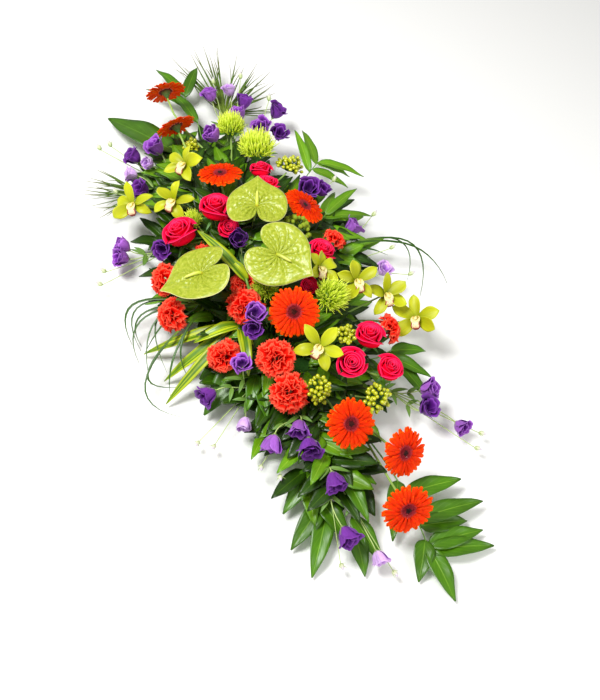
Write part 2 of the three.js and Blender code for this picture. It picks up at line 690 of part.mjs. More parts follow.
// A stem through hand-chosen points, and its leaves: where along the stem each starts, and where its tip lies
const LEAFY_STEMS = {
  greenery_foot_right: {
    route: [[80, -400, 50], [99, -520, 46], [98, -638, 38], [94, -700, 30]],
    width: 46,
    leaves: [
      [0.46, 222, -549, 40], [0.53, 12, -655, 20], [0.6, 225, -588, 34], [0.73, 250, -651, 26],
      [0.78, 195, -676, 18], [0.9, 25, -755, 12], [0.96, 215, -709, 22], [0.99, 78, -822, 12],
      [1, 223, -749, 14],
    ],
  },
  greenery_foot: {
    route: [[-20, -380, 48], [-30, -450, 46], [-35, -520, 40], [-60, -610, 26]],
    width: 42,
    leaves: [
      [0.45, 30, -532, 46], [0.6, -100, -590, 34], [0.7, 9, -608, 26], [0.9, -30, -690, 12],
      [0.97, -77, -700, 12],
    ],
  },
  greenery_foot_left: {
    route: [[-60, -340, 50], [-72, -410, 46], [-98, -500, 36], [-100, -555, 26]],
    width: 46,
    leaves: [
      [0.25, -192, -361, 30], [0.6, -183, -510, 20], [0.8, -50, -620, 18], [0.86, -200, -588, 14],
      [0.98, -184, -659, 12],
    ],
  },
  greenery_left: {
    route: [[-100, -160, 70], [-120, -215, 88], [-118, -262, 66]],
    width: 34,
    leaves: [[0.4, -200, -190, 50], [0.6, -197, -248, 60], [0.72, -138, -310, 70], [0.98, -169, -340, 30]],
  },
  greenery_right: {
    route: [[110, -230, 66], [170, -250, 66], [225, -240, 60]],
    width: 36,
    leaves: [
      [0.55, 150, -345, 70], [0.66, 203, -405, 60], [0.84, 276, -344, 66], [0.9, 262, -400, 30],
      [0.98, 310, -266, 50],
    ],
  },
  greenery_right_head: {
    route: [[150, 110, 80], [200, 140, 100], [228, 152, 112]],
    width: 28,
    leaves: [
      [0.4, 286, 64, 88], [0.6, 341, 99, 62], [0.8, 300, 230, 90], [0.9, 362, 131, 84],
      [0.99, 345, 203, 118],
    ],
  },
  greenery_head_right: {
    route: [[120, 200, 70], [200, 245, 84], [255, 285, 100], [298, 312, 108]],
    width: 27,
    leaves: [
      [0.4, 235, 310, 92], [0.8, 277, 440, 118], [0.86, 347, 240, 80], [0.96, 306, 447, 102],
      [0.98, 376, 281, 70], [1, 407, 262, 80],
    ],
  },
  greenery_head: {
    route: [[40, 400, 60], [55, 540, 58], [64, 590, 60], [72, 710, 50]],
    width: 32,
    leaves: [
      [0.4, -35, 590, 50], [0.5, 130, 500, 80], [0.75, 39, 742, 50], [0.88, -15, 770, 40],
      [0.98, 144, 792, 50], [1, 39, 836, 40],
    ],
  },
};
const LEAF_ARCH = 0.16;

// The whole route moves sideways or down until its stem is clear
const SIDEWAYS_TRIES = [0, 14, -14, 28, -28];
const LIFT_TRIES = [0, -12, 12];
const STEM_LOWEST = 12;
const LEAFY_STEM = [3, 2.6, 1.5];

function leavesOn(curve, leaves, width) {
  return leaves.map(([share, ...tip]) => {
    const [root, end] = [curve.getPoint(share), at(...tip)];
    return clearLeaf(root, end, width, BROAD, LEAF_ARCH * root.distanceTo(end));
  }).filter(Boolean);
}

function addLeafyStem(name, { route, width, leaves }) {
  growFromFoam(name, "greenery", at(...route[0]), (seat) => {
    for (const [aside, lift] of LIFT_TRIES.flatMap((z) => SIDEWAYS_TRIES.map((x) => [x, z]))) {
      const ahead = at(...route.at(-1)).sub(seat.outer).normalize();
      const sideways = UP.clone().cross(ahead).multiplyScalar(aside);
      const points = route.map(([x, y, z]) => at(x, y, Math.max(z + lift, STEM_LOWEST)).add(sideways));
      const curve = new THREE.CatmullRomCurve3([seat.outer, ...points]);
      const path = curve.getPoints(5);
      if (!isClear(stem(path, ...LEAFY_STEM), foamAlone)) continue;
      const rings = stemRings([seat.inner, ...path], ...LEAFY_STEM);
      const main = solid(loft(rings));
      if (!isClear(main)) continue;
      return { rings, solids: [main, ...leavesOn(curve, leaves, width)] };
    }
    return null;
  });
}

// Leaves that part from the top of one cane and arch down to their tips
const TUFTS = {
  aspidistra_head: {
    kind: "broad_leaf", profile: ROUNDER, width: 80, arch: 22,
    crown: [-30, 500, 62],
    tips: [[-150, 700, 30]],
  },
  aspidistra_left: {
    kind: "broad_leaf", profile: ROUNDER, width: 66, arch: 26,
    crown: [-90, -130, 80],
    tips: [[-250, -228, 20], [-225, -140, 24]],
  },
  dracaena_left: {
    kind: "strap_leaf", profile: STRAP, width: 30, arch: 34,
    crown: [-112, -88, 120],
    tips: [
      [-318, -168, 12], [-318, -27, 14], [-222, -84, 96], [-300, -110, 12], [-209, -183, 90],
      [-126, -202, 90],
    ],
  },
  dracaena_centre: {
    kind: "strap_leaf", profile: STRAP, width: 30, arch: 24,
    crown: [-65, -5, 165],
    tips: [[-125, 150, 186], [-92, 66, 172]],
  },
};

// A short cane from the foam to where its leaves part
function caneTo(crown, seat, radius) {
  const onward = crown.clone().sub(seat.outer).normalize();
  const end = along(crown, onward, 4);
  const out = { place: seat.outer, way: seat.leaving };
  const section = [3, radius, radius * 0.9];
  const path = clearPath(placed, seat.inner, out, { place: end, way: onward }, 2, section);
  return path && stemRings(path, ...section);
}

function addTuft(name, { kind, crown, width, arch, profile, tips }) {
  const top = at(...crown);
  growFromFoam(name, kind, top, (seat) => {
    const rings = caneTo(top, seat, 3.4);
    if (!rings) return null;
    const leaves = tips.map((tip) => clearLeaf(top, at(...tip), width, profile, arch)).filter(Boolean);
    return leaves.length ? { rings, solids: [solid(loft(rings)), ...leaves] } : null;
  });
}

// Thin blades that leave one stalk. Those of bear grass bend over in high arcs, so each has its tip's place
// and then that of the control point of its arc. Palm leaflets are straight and have the tip's place only.
const FANS = {
  bear_grass_left: {
    thick: 2.2, steps: 4,
    crown: [-150, 10, 90],
    tips: [
      [-320, -13, 8, -354, 137, 90], [-336, -42, 8, -353, 91, 90], [-333, -114, 8, -310, 91, 90],
      [-318, -27, 10, -234, 35, 110], [-297, -208, 8, -469, -128, 60], [-300, -150, 8, -300, -90, 110],
    ],
  },
  bear_grass_right: {
    thick: 2.2, steps: 4,
    crown: [240, 70, 80],
    tips: [
      [490, -85, 14, 452, 31, 130], [400, -98, 14, 507, 48, 130], [391, -44, 14, 463, 51, 130],
      [387, 33, 80, 306, 51, 110], [355, 19, 60, 289, 41, 100],
    ],
  },
  palm_head: {
    thick: 2.2, steps: 1,
    crown: [150, 600, 60],
    tips: [
      [90, 850, 60], [85, 800, 62], [165, 870, 60], [195, 870, 62], [225, 845, 60], [275, 810, 60],
      [320, 765, 60], [345, 725, 58], [325, 640, 60], [320, 560, 60],
    ],
  },
  palm_left: {
    thick: 2.2, steps: 1,
    crown: [-160, 400, 56],
    tips: [
      [-300, 440, 56], [-305, 405, 50], [-275, 490, 58], [-300, 470, 54], [-290, 370, 40], [-240, 520, 50],
    ],
  },
};
const NEEDLE_LIFTS = [0, 20, -20, 40, 60];

// A needle from the top of its stalk to its tip, with its arc lifted until it is clear
function clearNeedle(top, [x, y, z, ...control], thick, steps) {
  const end = at(x, y, z);
  for (const lift of NEEDLE_LIFTS) {
    const crest = control.length ? at(...control) : top.clone().lerp(end, 0.5);
    crest.z += lift;
    const path = new THREE.QuadraticBezierCurve3(top, crest, end).getPoints(steps);
    const rings = stemRings(path, 3, thick, thick * 0.6).slice(0, -1);
    const body = solid(loft([...rings, [end]]));
    if (isClear(body) && isClear(body, foamAlone)) return body;
  }
  return null;
}

function addFan(name, { thick, steps, crown, tips }) {
  const top = at(...crown);
  growFromFoam(name, "grass", top, (seat) => {
    const rings = caneTo(top, seat, 3);
    if (!rings) return null;
    const needles = tips.map((tip) => clearNeedle(top, tip, thick, steps)).filter(Boolean);
    return needles.length > tips.length / 2 ? { rings, solids: [solid(loft(rings)), ...needles] } : null;
  });
}

// Everything in the order that it gives way: first the holder, then the blooms, and the foliage last.
// A stem also keeps clear of the heads of the blooms that are still to be set.

addNode("tray", "tray", trayBody());
for (const [name, y] of Object.entries(TAPE_AT)) addNode(name, "tape", tapeBody(y));

const bunches = Object.entries(BLOOMS).flatMap(([kind, named]) =>
  Object.entries(named).map(([name, list]) => {
    return { name, kind, blooms: list.map((one) => bloomOf(kind, one)) };
  }),
);
const outwards = (x, y) => THREE.MathUtils.radToDeg(Math.atan2(y, x));
const budOf = ([x, y, z]) => bloomOf("bud", [x, y, z, BUD_RADIUS, BUD_LEAN, outwards(x, y)]);
const lisianthus = Object.entries(LISIANTHUS).map(([name, { bells, buds }]) => {
  return { name, blooms: bells.map((one) => bloomOf("lisianthus", one)), buds: buds.map(budOf) };
});
const toSet = [...bunches, ...lisianthus];
const othersThan = (one) => {
  const later = toSet.slice(toSet.indexOf(one) + 1);
  return [...placed, ...later.flatMap(({ blooms }) => blooms)];
};
for (const one of bunches) addBunch(one.name, one.kind, one.blooms, othersThan(one));
for (const one of lisianthus) addLisianthus(one.name, one.blooms, one.buds, othersThan(one));
for (const [name, one] of Object.entries(TUFTS)) addTuft(name, one);
for (const [name, one] of Object.entries(FANS)) addFan(name, one);
for (const [name, one] of Object.entries(LEAFY_STEMS)) addLeafyStem(name, one);
addNode("foam", "foam", foamBlock.subtract(fuse(holes)));

function meshOf({ name, kind, body }) {
  const { numProp, vertProperties, triVerts } = body.getMesh();
  const corners = new THREE.InterleavedBuffer(vertProperties, numProp);
  const geometry = new THREE.BufferGeometry();
  geometry.setAttribute("position", new THREE.InterleavedBufferAttribute(corners, 3, 0));
  geometry.setIndex(new THREE.BufferAttribute(triVerts, 1));
  const [color, roughness] = FINISH[kind];
  const material = new THREE.MeshStandardMaterial({ color, roughness, metalness: 0, flatShading: true });
  const mesh = new THREE.Mesh(geometry, material);
  mesh.name = name;
  return mesh;
}

const spray = new THREE.Group();
for (const node of placed) spray.add(meshOf(node));

export default spray;
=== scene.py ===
import functools

import bpy
import numpy as np
from mathutils import Matrix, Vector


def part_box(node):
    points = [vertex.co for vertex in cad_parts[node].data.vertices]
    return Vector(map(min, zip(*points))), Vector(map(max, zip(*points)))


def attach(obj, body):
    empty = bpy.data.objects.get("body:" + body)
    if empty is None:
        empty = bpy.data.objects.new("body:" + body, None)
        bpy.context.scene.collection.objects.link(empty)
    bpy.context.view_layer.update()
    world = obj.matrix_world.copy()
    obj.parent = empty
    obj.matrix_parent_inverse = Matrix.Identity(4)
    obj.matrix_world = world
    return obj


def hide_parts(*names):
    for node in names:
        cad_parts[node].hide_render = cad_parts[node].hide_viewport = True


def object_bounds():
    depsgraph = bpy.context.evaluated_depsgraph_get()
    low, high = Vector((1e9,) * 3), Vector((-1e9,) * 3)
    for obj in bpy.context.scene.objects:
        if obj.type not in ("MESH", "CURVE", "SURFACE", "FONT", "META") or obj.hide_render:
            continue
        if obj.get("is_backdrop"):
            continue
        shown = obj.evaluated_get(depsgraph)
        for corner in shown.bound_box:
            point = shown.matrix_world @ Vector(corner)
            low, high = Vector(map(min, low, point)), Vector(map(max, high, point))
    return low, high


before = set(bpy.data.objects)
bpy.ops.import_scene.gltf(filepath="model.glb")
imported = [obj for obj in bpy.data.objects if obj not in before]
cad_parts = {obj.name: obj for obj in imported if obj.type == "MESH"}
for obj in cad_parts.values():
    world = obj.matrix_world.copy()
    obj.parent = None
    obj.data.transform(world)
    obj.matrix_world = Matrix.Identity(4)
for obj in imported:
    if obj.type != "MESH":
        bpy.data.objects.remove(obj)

cad_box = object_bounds()

# Holder
# A shallow tray of injection-moulded polypropylene, with a block of wet floral foam pressed into it and
# held down by two strips of waterproof tape. The plastic shines softly, foam is dull and full of open
# cells, and the tape has a woven grain.

# In mm. The plastic's grain is drawn much coarser than the real one, so that it shows.
PLASTIC_GRAIN, FOAM_CELL, TAPE_THREAD = 6, 1.2, 0.9
PER_METRE = 1000
# The sockets that values go to, where they aren't a node's first ones.
NOISE = {"at": ("Vector", "Scale", "Detail")}
BUMP = {"at": ("Height", "Strength", "Distance")}


def linear(code):
    """An sRGB hex colour as linear red, green, blue and alpha: each channel plus 0.055, over 1.055, to the
    power 2.4, or over 12.92 where it is very dark."""
    share = np.array([int(code[i : i + 2], 16) for i in (1, 3, 5)]) / 255
    return [*np.where(share > 0.04045, ((share + 0.055) / 1.055) ** 2.4, share / 12.92).tolist(), 1.0]


def add(tree, kind, *values, at=None, out=0, stops=None, **settings):
    """Adds one shader node with its settings, and gives one of its outputs. Each value is linked to or set
    on the next of its sockets, or of those at, and a hex colour is made linear first."""
    node = tree.nodes.new("ShaderNode" + kind)
    for name, value in settings.items():
        setattr(node, name, value)
    for socket, value in zip(at or range(len(values)), values):
        if isinstance(value, bpy.types.NodeSocket):
            tree.links.new(value, node.inputs[socket])
        else:
            node.inputs[socket].default_value = linear(value) if isinstance(value, str) else value
    for i, (place, code) in enumerate((stops or {}).items()):
        stop = node.color_ramp.elements[i] if i < 2 else node.color_ramp.elements.new(place)
        stop.position, stop.color = place, linear(code)
    return node.outputs[out]


def new_finish(name, **sockets):
    """A material whose one shader has its own sockets set, and what adds a node to it."""
    material = bpy.data.materials.new(name)
    material.use_nodes = True
    for socket, value in sockets.items():
        material.node_tree.nodes["Principled BSDF"].inputs[socket.replace("_", " ")].default_value = value
    return material, functools.partial(add, material.node_tree)


def finished(material, *sources):
    """The material with its shader's colour, and normal if there is one, taken from its nodes."""
    tree = material.node_tree
    for socket, source in zip(("Base Color", "Normal"), sources):
        tree.links.new(source, tree.nodes["Principled BSDF"].inputs[socket])
    return material


def grained(name, dark, light, grain, depth, **sockets):
    """A finish that goes from dark to light with a noise, and whose relief follows it. The grain and the
    depth of the relief are in mm."""
    material, put = new_finish(name, **sockets)
    noise = put("TexNoise", put("TexCoord", out="Object"), PER_METRE / grain, 3, **NOISE)
    bump = put("Bump", noise, 0.6, depth / PER_METRE, **BUMP)
    return finished(material, put("ValToRGB", noise, stops={0.3: dark, 0.7: light}), bump)


HOLDER = {
    "tray": grained("moulded polypropylene", "#16301b", "#1f3f25", PLASTIC_GRAIN, 0.05, Roughness=0.38),
    "foam": grained(
        "wet floral foam", "#1b3812", "#2f5a1e", FOAM_CELL, 0.6, Roughness=0.95, Specular_IOR_Level=0.1
    ),
    "tape_head": grained("waterproof cloth tape", "#24512f", "#35693f", TAPE_THREAD, 0.1, Roughness=0.5),
}
HOLDER["tape_foot"] = HOLDER["tape_head"]
for node, material in HOLDER.items():
    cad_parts[node].data.materials.clear()
    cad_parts[node].data.materials.append(material)

# Gerberas
# Eight cut gerberas on thick bare stems. A head is a green cup of bracts, 76 narrow blunt rays in three
# rounds, a ring of short salmon ones, and a disc of crimson florets, nearly black in the middle. Rays are
# satin, with fine grooves. The stems are pushed into the foam.

MM = 0.001
GOLDEN_TURN = np.pi * (3 - np.sqrt(5))
ROOT_LENGTH = 42
BOW_PULLS = (0.35, 0.2, 0.5, 0.05)
LONG_STEM = 180
STEM_POINTS = 10
FOAM_LOW, FOAM_HIGH = (np.array(corner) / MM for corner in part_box("foam"))
FOAM_SKIN = 0.2

# The numbers of a bloom, here and in the tables below, are the middle of its face, its radius, how far it
# leans from upright and towards which bearing, and its spin, in mm and degrees.
GERBERAS = {
    "head_tip": [(-5, 660, 130, 56, 70, 85)],
    "head": [(-30, 525, 140, 54, 70, 95)],
    "centre_head": [(-10, 290, 200, 57, 20, 90)],
    "right": [(156, 147, 182, 57, 25, -5)],
    "centre": [(-20, -150, 215, 60, 28, -128)],
    "foot": [(-5, -425, 165, 57, 36, -100)],
    "foot_right": [(85, -520, 140, 57, 45, -80)],
    "foot_tip": [(40, -630, 110, 60, 55, -105)],
}
RAY_SHARES = np.array([0, 0.22, 0.45, 0.66, 0.82, 0.93, 1])[None, :, None]
RAY_WIDTHS = np.array([0.46, 0.62, 0.8, 0.96, 1, 0.86, 0.48])[None, :, None]
RAY_START, RAY_HEIGHT = 12, 20.5
HEART_FLORETS = 18
# Every bloom's face, for the filling foliage to leave the space in front of it free.
FACES = []
MIX = {"at": (0, 6, 7), "out": 2, "data_type": "RGBA"}
STRETCH = {"at": ("Vector", "Scale")}
LIGHTEN = {"at": ("Value", "Color")}


def unit(vectors):
    """The same directions with a length of one."""
    return vectors / (np.linalg.norm(vectors, axis=-1, keepdims=True) + 1e-9)


def each(values):
    """One value for each copy of a shape, for use with a grid."""
    return values[:, None, None]


def grid(rows, columns):
    """The two parameters of a surface: along it, from 0 to 1, and to its sides, from -1 to 1."""
    return np.linspace(0, 1, rows)[None, :, None], np.linspace(-1, 1, columns)[None, None]


def sheet(x, y, z):
    """A grid of points out of their coordinates, which may each lack a direction of the grid."""
    return np.stack(np.broadcast_arrays(x, y, z), -1)


def around(out, bearing, up):
    """A grid of points by their distance from the axis, their bearing round it and their height."""
    return sheet(out * np.cos(bearing), out * np.sin(bearing), up)


def swept(out, aside, up, angles):
    """Sheets swept round Z: out is the distance from the axis, aside the one square to it, and angles holds
    one bearing for each copy."""
    cos, sin = np.cos(each(angles)), np.sin(each(angles))
    return sheet(out * cos - aside * sin, out * sin + aside * cos, up)


def shell(points, faces, along, across, chance):
    """Points, faces of four corners and a tint for each point: how far it is along its petal or stem, how
    far across, and its copy's random number. points is copies by rows by columns by 3."""
    every = each(np.arange(len(points))) * points[0, ..., 0].size
    return points.reshape(-1, 3), (faces + every).reshape(-1, 4), sheet(along, across, chance).reshape(-1, 3)


def thin(sheets, thickness, seed):
    """Closed thin petals or leaves from sheets of points, copies by rows by columns. Each point moves half
    the thickness either way along the sheet's normal, which is the direction along it times the one across
    it. The under side has one more in its tint's random number."""
    sheets = np.asarray(sheets, float)
    rows, columns = sheets.shape[-3:-1]
    sheets = sheets.reshape(-1, rows, columns, 3)
    normal = unit(np.cross(*np.gradient(sheets, axis=(1, 2))))
    both = np.concatenate([sheets + normal * thickness / 2, sheets - normal * thickness / 2], 1)
    index = np.arange(rows * columns).reshape(rows, columns)
    top = np.stack([index[:-1, :-1], index[1:, :-1], index[1:, 1:], index[:-1, 1:]], -1).reshape(-1, 4)
    rim = np.concatenate([index[:, 0], index[-1, 1:], index[-2::-1, -1], index[0, -2:0:-1]])
    after = np.roll(rim, -1)
    wall = np.stack([rim + index.size, after + index.size, after, rim], -1)
    along = np.tile(np.linspace(0, 1, rows)[:, None], (2, 1))
    chance = np.random.default_rng(seed).random((len(sheets), 1, 1)) + (np.arange(2 * rows) >= rows)[:, None]
    faces = np.concatenate([top, top[:, ::-1] + index.size, wall])
    return shell(both, faces, along, np.linspace(0, 1, columns), chance)


def tubes(paths, radii, sides, seed=0):
    """Closed round tubes along paths, copies by points. Every ring stands square to its path: its first
    corner is carried on from the ring before, less what of it points along the path. sides is even."""
    paths = np.asarray(paths, float)
    paths = paths.reshape(-1, *paths.shape[-2:])
    copies, rows, _ = paths.shape
    ahead = unit(np.gradient(paths, axis=1))
    toward = [np.where(np.abs(ahead[:, 0, 2:]) > 0.9, [1.0, 0, 0], [0, 0, 1.0])]
    for row in range(rows):
        last = toward[-1]
        toward.append(unit(last - ahead[:, row] * np.sum(last * ahead[:, row], -1, keepdims=True)))
    toward = np.stack(toward[1:], 1)
    turn = 2 * np.pi * np.arange(sides)[:, None] / sides
    ring = np.cos(turn) * toward[:, :, None] + np.sin(turn) * np.cross(ahead, toward)[:, :, None]
    points = paths[:, :, None] + np.broadcast_to(radii, (copies, rows))[..., None, None] * ring
    index = np.arange(rows * sides).reshape(rows, sides)
    beside = np.roll(index, -1, 1)
    wall = np.stack([index[:-1], beside[:-1], beside[1:], index[1:]], -1).reshape(-1, 4)
    fan = np.array([[0, k, k + 1, k + 2] for k in range(1, sides - 2, 2)])
    faces = np.concatenate([wall, fan[:, ::-1], fan + (rows - 1) * sides])
    chance = np.random.default_rng(seed).random((copies, 1, 1))
    return shell(points, faces, np.linspace(0, 1, rows)[:, None], np.arange(sides) / sides, chance)


def upright(heights, radii, sides, scale=1):
    """One closed tube on the Z axis, with a radius at each height, all of them times the scale."""
    return tubes([[0, 0, z * scale] for z in heights], np.array(radii) * scale, sides)


def piece(name, parts, node, slot):
    """One smooth object at the origin out of each finish's shells, in place of a CAD node if one is given."""
    every = [(i, one) for i, shells in enumerate(parts.values()) for one in shells]
    starts = np.cumsum([0] + [len(one[0]) for _, one in every])
    points, tint = (np.concatenate([one[k] for _, one in every]) for k in (0, 2))
    faces = np.concatenate([one[1] + start for (_, one), start in zip(every, starts)])
    mesh = bpy.data.meshes.new(name)
    mesh.from_pydata(points * MM, [], faces, False)
    finish_of_face = np.repeat([i for i, _ in every], [len(one[1]) for _, one in every])
    mesh.polygons.foreach_set("material_index", finish_of_face)
    mesh.attributes.new("tint", "FLOAT_VECTOR", "POINT").data.foreach_set("vector", tint.ravel())
    for material in parts:
        mesh.materials.append(material)
    new = bpy.data.objects.new(name, mesh)
    bpy.context.scene.collection.objects.link(new)
    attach(new, "root")
    if node:
        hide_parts(node)


def corners(node):
    """The corners of a CAD node in mm, each once."""
    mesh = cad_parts[node].data
    flat = np.empty(len(mesh.vertices) * 3, np.float32)
    mesh.vertices.foreach_get("co", flat)
    return np.unique(np.round(flat.reshape(-1, 3) / MM, 2), axis=0)


def root_of(points):
    """Where a stem starts in the foam, where it is out of it, and its direction there. Its lowest cap is
    all that lies inside the foam's box: the cap's middle is the start, and its normal the direction."""
    cap = points[np.all((points > FOAM_LOW + FOAM_SKIN) & (points < FOAM_HIGH - FOAM_SKIN), 1)]
    inner = cap.mean(0)
    leaving = unit(np.cross(cap[1] - cap[0], cap[2] - cap[0]))
    leaving *= np.sign((points.mean(0) - inner) @ leaving)
    return inner, inner + ROOT_LENGTH * leaving, leaving


def bezier(controls, shares):
    """Points on a Bezier curve: neighbouring controls are drawn together by each share until one is left."""
    level = [np.asarray(point, float)[None] for point in controls]
    share = np.asarray(shares, float)[:, None]
    while len(level) > 1:
        level = [a + (b - a) * share for a, b in zip(level, level[1:])]
    return level[0]


def bow(start, leaving, end, arriving, pull, shares):
    """A smooth bow from start to end that leaves along one direction and arrives along another."""
    reach = np.linalg.norm(end - start) * pull
    return bezier([start, start + leaving * reach, end - arriving * reach, end], shares)


def misfit(path, points):
    """How far the points of a path lie from the nearest of a node's corners, on average."""
    return np.linalg.norm(path[:, None] - points[None], axis=-1).min(1).mean()


def bow_in(points, start, leaving, end, arriving, steps):
    """The smooth stem of a node: of the bows with each pull, the one that lies nearest to its corners."""
    between = np.linspace(0, 1, steps + 1)[1:-1]
    ends = (start, leaving, end, arriving)
    pull = BOW_PULLS[0]
    if steps > 1:
        pull = min(BOW_PULLS, key=lambda one: misfit(bow(*ends, one, between), points))
    return bow(*ends, pull, np.linspace(0, 1, STEM_POINTS))


def axes_of(lean, toward, spin=0):
    """Across, upward and facing of a bloom that leans from upright by an angle towards a bearing, and is spun
    round its facing: across is square to the facing and level with Y, and is turned by the spin."""
    lean, toward, spin = np.radians([lean, toward, spin])
    facing = np.array([np.sin(lean) * np.cos(toward), np.sin(lean) * np.sin(toward), np.cos(lean)])
    across = unit(np.array([facing[2], 0, -facing[0]]))
    across = across * np.cos(spin) + np.cross(facing, across) * np.sin(spin)
    return np.stack([across, np.cross(facing, across), facing])


def stand(parts, made, base, axes):
    """Adds shells made round the origin to a piece's, turned to the three axes and moved to a base."""
    for finish, shells in made.items():
        moved = [(points @ axes + base, faces, tint) for points, faces, tint in shells]
        parts.setdefault(finish, []).extend(moved)


def tints(put):
    """The tint, and out of it how far along a point is, how far from the middle, 1 at the sides, and its
    copy's random number."""
    tint = put("Attribute", out="Vector", attribute_name="tint")
    along, across, chance = put("SeparateXYZ", tint, out=slice(None))
    aside = put("Math", put("Math", across, 2, -1, operation="MULTIPLY_ADD"), operation="ABSOLUTE")
    return tint, along, aside, chance


def petal_finish(name, stops, rim=None, back=None, streaks=(30, 0.25), spread=0.2, **sockets):
    """A petal's finish. Its colour runs along the petal by the stops, and towards the rim it turns to the
    rim's colour. Its under side is partly of the back's colour. Fine streaks run along it, and each petal
    is a little lighter or darker than the next."""
    material, put = new_finish(name, **sockets)
    tint, along, aside, chance = tints(put)
    colour = put("ValToRGB", along, stops=stops)
    count, strength = streaks
    noise = put("TexNoise", put("Mapping", tint, (3, count, 60), **STRETCH), 1, 2, **NOISE)
    if rim:
        edge = put("MapRange", put("Math", aside, along, operation="MAXIMUM"), rim[1], 1)
        colour = put("Mix", edge, colour, rim[0], **MIX)
    if back:
        colour = put("Mix", put("MapRange", chance, 0.999, 1, 0, back[1]), colour, back[0], **MIX)
    light = put("Math", noise, strength * 2, 1 - strength - spread / 2, operation="MULTIPLY_ADD")
    light = put("Math", put("Math", chance, operation="FRACT"), spread, light, operation="MULTIPLY_ADD")
    bump = put("Bump", noise, 0.25, 0.5 * MM, **BUMP)
    return finished(material, put("HueSaturation", light, colour, **LIGHTEN), bump)


SATIN = {"Roughness": 0.6, "Specular_IOR_Level": 0.06}
GREEN_STEM = petal_finish(
    "smooth green stem", {0: "#5c8426", 1: "#98b854"}, streaks=(14, 0.12), Roughness=0.5
)
# Painted light and shade: the rays darken towards the disc as painted shade and are brightest at their tips
# as painted highlight. The bright orange of their under sides is painted light on the side the lamps leave in
# shade.
GERBERA_RAY = petal_finish(
    "orange gerbera ray",
    {0: "#7c0e00", 0.3: "#de2800", 0.75: "#f63a00", 1: "#ff5e00"},
    back=("#ff4e06", 0.9),
    streaks=(26, 0.16),
    Subsurface_Weight=0.6,
    Subsurface_Scale=2 * MM,
    **SATIN,
)
GERBERA_HEART = petal_finish("near-black gerbera floret", {0: "#100103", 1: "#2c0407"}, Roughness=0.6)
GERBERA_DISC = petal_finish(
    "crimson gerbera floret", {0: "#5a040c", 0.7: "#9c0c1c", 1: "#c2263a"}, Roughness=0.6
)
GERBERA_RING = petal_finish(
    "salmon gerbera ray", {0: "#7a0810", 0.55: "#c01c1e", 1: "#ff9a70"}, Roughness=0.7
)
GERBERA_BRACT = petal_finish("green bract", {0: "#44702a", 0.6: "#4c6a24", 1: "#96320c"}, Roughness=0.6)


def plant(start, table, face, radius, head, slot, ending="blooms", stem_finish=GREEN_STEM):
    """The pieces that stand for CAD nodes of blooms. Each bloom has a stem that leaves the foam with the
    others and ends under the bloom's face, by the first of face times its radius plus the second, and a
    head, which is made from its radius and a seed."""
    for node, blooms in table.items():
        node = start + node
        points = corners(node)
        inner, outer, leaving = root_of(points)
        parts = {stem_finish: []}
        for i, (x, y, z, size, *turns) in enumerate(blooms):
            axes = axes_of(*turns)
            FACES.append((x, y, z, size, *axes[2]))
            base = np.array([x, y, z]) - axes[2] * (face[0] * size + face[1])
            steps = 3 if np.linalg.norm(base - outer) > LONG_STEM else 2
            path = bow_in(points, outer, leaving, base, axes[2], steps)
            path = np.concatenate([[inner], path]) if i == 0 else path
            parts[stem_finish].append(tubes(path, np.linspace(radius, 0.8 * radius, len(path)), 8, i))
            stand(parts, head(size, len(node) * 7 + i), base, axes)
        piece(f"{node}_{ending}", parts, node, slot)


def round_of(count, turn, jitter, draw):
    """Angles of petals in one round, with a little chance in each."""
    return 2 * np.pi * (np.arange(count) + turn) / count + draw.normal(0, jitter, count)


def gerbera_rays(radius, count, share, width, rise, seed):
    """Rays of one round. A ray goes from under the disc's edge to its share of the radius, as wide as its
    profile, with an arch that is half a sine along it, two grooves along it and its sides lower than its
    middle."""
    draw = np.random.default_rng(seed)
    angles = round_of(count, seed * 0.5, 0.05, draw)
    reach = radius * share * each(draw.uniform(0.91, 1.0, count))
    along, side = RAY_SHARES, np.linspace(-1, 1, 5)[None, None]
    aside = width * RAY_WIDTHS * side
    twist = each(draw.normal(0, 0.16, count))
    arch = rise * np.sin(np.pi * along * 0.85) + each(draw.normal(0, 1.1, count)) * along
    fold = 0.45 * np.cos(2 * np.pi * side)
    up = RAY_HEIGHT + arch - 2.8 * along**2 - 1.3 * side**2 * along + aside * twist + fold
    return thin(swept(RAY_START + (reach - RAY_START) * along, aside, up, angles), 0.5, seed)


def seeds_on(count, radius, low, top):
    """Places of florets in a spiral: each is a golden turn on from the last, and as far out as the square
    root of its number. The disc rises from low at its edge to top in its middle."""
    number = np.arange(count) + 0.5
    out = radius * np.sqrt(number / count)
    return around(out, GOLDEN_TURN * number, top - (top - low) * (out / radius) ** 2)


